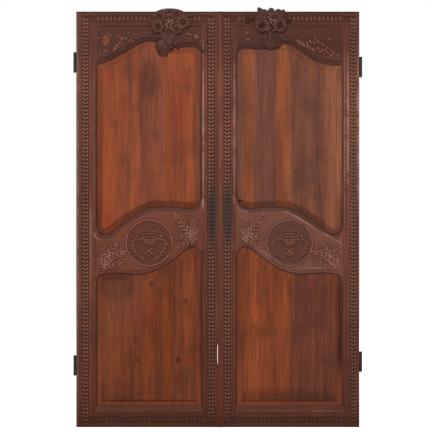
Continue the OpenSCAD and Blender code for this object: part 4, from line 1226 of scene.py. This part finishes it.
class DOORS_OT_medallions(Operator):
    """Medallions with a basket of flowers, a ribbon and two branches"""
    bl_idname = "doors.medallions"
    bl_label = "Medallions"

    def execute(self, context):
        named = finishes(context)
        leaf = leaf_blank("medallion_leaf", 10, 8, 0.5, 0.2)
        bead = bead_blank("medallion_bead", 12, 8)
        for side in SIDES:
            parts = [self.ring()] + self.branches(leaf) + self.basket(leaf, bead) + self.ribbon()
            piece = fuse(parts, f"{side}_medallion_carving")
            piece.data.transform(Matrix.Translation((OPENING_MIDDLE[side], 0, MIDDLE_Z * MM)))
            seat(piece, side, named["medallion"])
        discard(leaf, bead)
        return {"FINISHED"}

    def ring(self):
        deselect()
        bpy.ops.mesh.primitive_torus_add(major_segments=72, minor_segments=10, major_radius=MEDALLION_R * MM,
                                         minor_radius=4.4 * MM, rotation=(math.pi / 2, 0, 0))
        ring = take_added("medallion_ring")
        scale_part(ring, whole, (1, 0.8, 1))
        smooth(ring, 60)
        return ring

    def branches(self, leaf):
        places = []
        for way in (-1, 1):
            for i in range(6):
                angle = 270 + way * (16 + 12 * i)
                foot = direction(angle) * 0.74 * MEDALLION_R * MM
                for turn in (68, 112):
                    places.append(leaf_place(foot, 2 * MM, angle + way * turn, *metres(25, 9, 5.5), 3))
        return strew(leaf, places)

    def basket(self, leaf, bead):
        """Three rows of flowers that arch over a fluted bowl with a rim."""
        places = []
        for count, height, step in ((6, 54, 16), (8, 41, 15.5), (9, 28, 14.5)):
            for i in range(count):
                across = (i - (count - 1) / 2) * step
                up = height - 0.0035 * across ** 2
                places.append(bead_place(metres(across, up), *metres(1.5, 5.6, 6.5)))
        flutes = []
        for i in range(11):
            angle = 180 + 18 * i
            length = 44 * (0.8 + 0.2 * abs(direction(angle).x))
            flutes.append(leaf_place(metres(0, 14), 2 * MM, angle, *metres(length, 15, 5)))
        rim = carved_rod([Vector((x, 16)) * MM for x in (-46, -20, 20, 46)], [3.4 * MM] * 4, 0)
        return strew(bead, places) + strew(leaf, flutes) + [rim]

    def ribbon(self):
        """Two crossed ribbons below the bowl, their tails, and a volute on each side."""
        made = []
        for way in (-1, 1):
            bow = ((-18, -54), (-5, -41), (9, -30), (18, -22))
            tail = ((-6, -48), (10, -62), (22, -74), (14, -82))
            volute = ((50, 16), (66, 12), (80, -2), (72, -14), (62, -6))
            for line, radii, depth in (
                (bow, (3.6, 3.6, 3.6, 3.6), -1.5), (tail, (3, 3, 3, 3), 0), (volute, (3.4, 4, 4, 3, 2.4), 0),
            ):
                points = [Vector((way * across, up)) * MM for across, up in line]
                made.append(carved_rod(points, metres(*radii), depth * MM))
        return made


class DOORS_OT_crests(Operator):
    """Flower crests on the top rails"""
    bl_idname = "doors.crests"
    bl_label = "Crests"

    def execute(self, context):
        named = finishes(context)
        leaf = leaf_blank("crest_leaf", 12, 8, 0.15, 0.25)
        petal = leaf_blank("crest_petal", 8, 6, -0.15, 0.0)
        bead = bead_blank("crest_bead", 8, 6)
        mound = bead_blank("crest_mound", 32, 12)
        for side in SIDES:
            parts = self.ground(mound, side) + self.bouquet(petal, bead, side)
            for daisy in CREST_DAISIES[side]:
                parts += self.daisy(petal, bead, *daisy)
            parts += strew(leaf, [
                leaf_place(metres(across, up), -2 * MM, angle, *metres(length, width, 7), 3)
                for across, up, angle, length, width in CREST_LEAVES[side]
            ])
            parts += strew(bead, [bead_place(metres(*at), *metres(-3, 6, 12)) for at in CREST_BUDS[side]])
            piece = self.at_crest(fuse(parts, f"{side}_crest_carving"), side)
            seat(piece, side, named[f"{side} crest"])
            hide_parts(f"{side}_crest")
            self.foliage(leaf, bead, mound, side, named["crest foliage"])
        discard(leaf, petal, bead, mound)
        return {"FINISHED"}

    def at_crest(self, piece, side):
        """Moves a piece made round the origin to the middle of its crest."""
        piece.data.transform(Matrix.Translation((CREST_U[side] * MM, 0, LEAF_H - CREST_DROP * MM)))
        return piece

    def ground(self, mound, side):
        """A low mound under the flowers."""
        across, up, wide, high = CREST_MOUNDS[side]
        return strew(mound, [bead_place(metres(across, up), *metres(0, wide, 6, high))])

    def bouquet(self, petal, bead, side):
        """Small flowers set close in the middle, each turned and tilted a little unlike its neighbours."""
        wide, high, spacing = BOUQUETS[side]
        petals, eyes = [], []
        rows = int(high / (0.86 * spacing))
        for row in range(-rows, rows + 1):
            for column in range(-8, 9):
                x = (column + 0.5 * (row % 2)) * spacing + 3 * math.sin(5.1 * row + 2.3 * column)
                z = row * 0.86 * spacing + 3 * math.sin(3.7 * row + 4.9 * column)
                far = (x / wide) ** 2 + (z / high) ** 2
                if far > 0.9:
                    continue
                at = metres(x, z)
                depth = -(2.5 + 4.5 * math.sqrt(1 - far)) * MM
                turn = 40 * math.sin(7.3 * row + 1.9 * column)
                radius = 7.0 + 1.5 * math.sin(2.9 * row + 6.1 * column)
                for i in range(5):
                    lift = 10 + 8 * math.sin(turn + 2.1 * i)
                    petals.append(leaf_place(at, depth, turn + 72 * i, *metres(radius, 5.5, 3), lift))
                eyes.append(bead_place(at, depth, 3.4 * MM, 6.5 * MM))
        return strew(petal, petals) + strew(bead, eyes)

    def daisy(self, petal, bead, across, up, radius, petals):
        """A wide flower: round petal ends around a hollow, and a beaded eye."""
        at = Vector((across, up)) * MM
        places = []
        for i in range(petals):
            angle = 360 / petals * i
            foot = at + 0.26 * radius * MM * direction(angle)
            size = metres(0.76 * radius, 5.2 * radius / petals, 4)
            places.append(leaf_place(foot, -4 * MM, angle, *size, 12))
        eyes = [bead_place(at, *metres(-4, 0.17 * radius, 6))]
        for i in range(6):
            seed = at + 0.28 * radius * MM * direction(60 * i)
            eyes.append(bead_place(seed, *metres(-4, 0.1 * radius, 5)))
        return strew(petal, places) + strew(bead, eyes)

    def foliage(self, leaf, bead, mound, side, material):
        """Stems and leaves that hang from the crest over a swelling of the rail."""
        across, up, wide, high = CREST_TONGUES[side]
        parts = strew(mound, [bead_place(metres(across, up), *metres(8, wide, 9, high))])
        parts += strew(leaf, [
            leaf_place(metres(across, up), 2 * MM, angle, *metres(length, width, 7))
            for across, up, angle, length, width in HANGING_LEAVES[side]
        ])
        parts += strew(bead, [bead_place(metres(*at), *metres(2, 6, 9)) for at in HANGING_BEADS[side]])
        steps = [i / 5 for i in range(6)]
        for *line, thickness in HANGING_STEMS[side]:
            points = [bend(line, t) * MM for t in steps]
            radii = [thickness * (1 - 0.3 * t) * MM for t in steps]
            parts.append(carved_rod(points, radii, 0))
        seat(self.at_crest(fuse(parts, f"{side}_crest_foliage"), side), side, material)


class DOORS_OT_ironwork(Operator):
    """Hinges, lock, keeper, slide bolts and screws, and the wooden pegs"""
    bl_idname = "doors.ironwork"
    bl_label = "Ironwork and pegs"

    def execute(self, context):
        named = finishes(context)
        iron = ("hinge_leaf", "frame_leaf", "screws", "lock_case", "lock_bolt", "lock_keeper", "slide_bolt",
                "bolt_guide")
        for name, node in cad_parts.items():
            if name.endswith(iron):
                dress(node, named["black iron"])
            elif name.endswith("joint_pegs"):
                dress(node, named["frame wood level"])
        return {"FINISHED"}


class DOORS_OT_stage(Operator):
    """Floor, light and camera"""
    bl_idname = "doors.stage"
    bl_label = "Stage"

    def execute(self, context):
        self.floor()
        self.world(context.scene)
        self.lamps()
        self.camera(context.scene)
        return {"FINISHED"}

    def floor(self):
        deselect()
        bpy.ops.mesh.primitive_plane_add(size=14, location=(0, 2, -0.0015))
        floor = bpy.context.active_object
        floor.name = "floor"
        f = Finish("floor")
        seen = shown(f.tree)
        dress(floor, f.set(Base_Color=(0.9, 0.9, 0.9), Roughness=0.9, Specular_IOR_Level=0.0,
                           Emission_Color=f.mix(seen, (0, 0, 0), (1, 1, 1)), Emission_Strength=0.75))

    def world(self, scene):
        scene.world = bpy.data.worlds.new("studio")
        scene.world.use_nodes = True
        tree = scene.world.node_tree
        sky = tree.nodes["Background"]
        sky.inputs["Color"].default_value = (1, 1, 1, 1)
        plug(tree, sky.inputs["Strength"], 0.30 + 0.70 * shown(tree))

    def lamps(self):
        lamp("key", (-0.9, -3.2, 4.0), (0, 0, 1.0), 1.6, 120)
        lamp("fill", (2.6, -4.2, 1.4), (0, 0, 0.9), 2.5, 28)
        lamp("back", (1.0, 3.4, 2.6), (0, 0, 1.0), 2.5, 45)

    def camera(self, scene):
        view = bpy.data.cameras.new("view")
        eye = bpy.data.objects.new("view", view)
        bpy.context.collection.objects.link(eye)
        eye.location = (EYE_X, FACE_Y - EYE_FAR, EYE_Z)
        eye.rotation_euler = (math.pi / 2, 0, 0)
        view.angle = 2 * math.atan(VIEW_HALF / EYE_FAR)
        scene.camera = eye
        scene.view_settings.view_transform = "Standard"


def shown(tree):
    """1 for rays that show the white ground in the picture, in metal or through glass."""
    rays = Val(tree, None).node("ShaderNodeLightPath")
    seen = Val(tree, rays.outputs["Is Camera Ray"])
    for name in ("Is Glossy Ray", "Is Transmission Ray"):
        seen = seen.greatest(Val(tree, rays.outputs[name]))
    return seen


def lamp(name, place, target, size, power):
    light = bpy.data.lights.new(name, "AREA")
    light.size = size
    light.energy = power
    holder = bpy.data.objects.new(name, light)
    bpy.context.collection.objects.link(holder)
    holder.location = place
    holder.rotation_euler = (Vector(target) - Vector(place)).to_track_quat("-Z", "Y").to_euler()


class DOORS_PT_panel(Panel):
    """The doors' values and steps"""
    bl_label = "Carved Cupboard Doors"
    bl_idname = "DOORS_PT_panel"
    bl_space_type = "VIEW_3D"
    bl_region_type = "UI"
    bl_category = "Doors"

    def draw(self, context):
        scene = context.scene
        for group in (scene.door_work, scene.door_finish):
            for name in group.__annotations__:
                self.layout.prop(group, name)
        for step in STEPS:
            self.layout.operator(step.bl_idname)


STEPS = (DOORS_OT_frame, DOORS_OT_panels, DOORS_OT_laurel, DOORS_OT_sprays, DOORS_OT_medallions,
         DOORS_OT_crests, DOORS_OT_ironwork, DOORS_OT_stage)
CLASSES = (DoorWork, DoorFinish, *STEPS, DOORS_PT_panel)


def register():
    for kind in CLASSES:
        bpy.utils.register_class(kind)
    bpy.types.Scene.door_work = PointerProperty(type=DoorWork)
    bpy.types.Scene.door_finish = PointerProperty(type=DoorFinish)


def unregister():
    del bpy.types.Scene.door_finish
    del bpy.types.Scene.door_work
    for kind in reversed(CLASSES):
        bpy.utils.unregister_class(kind)


def main():
    register()
    for step in STEPS:
        group, name = step.bl_idname.split(".")
        getattr(getattr(bpy.ops, group), name)()


if __name__ == "__main__":
    main()
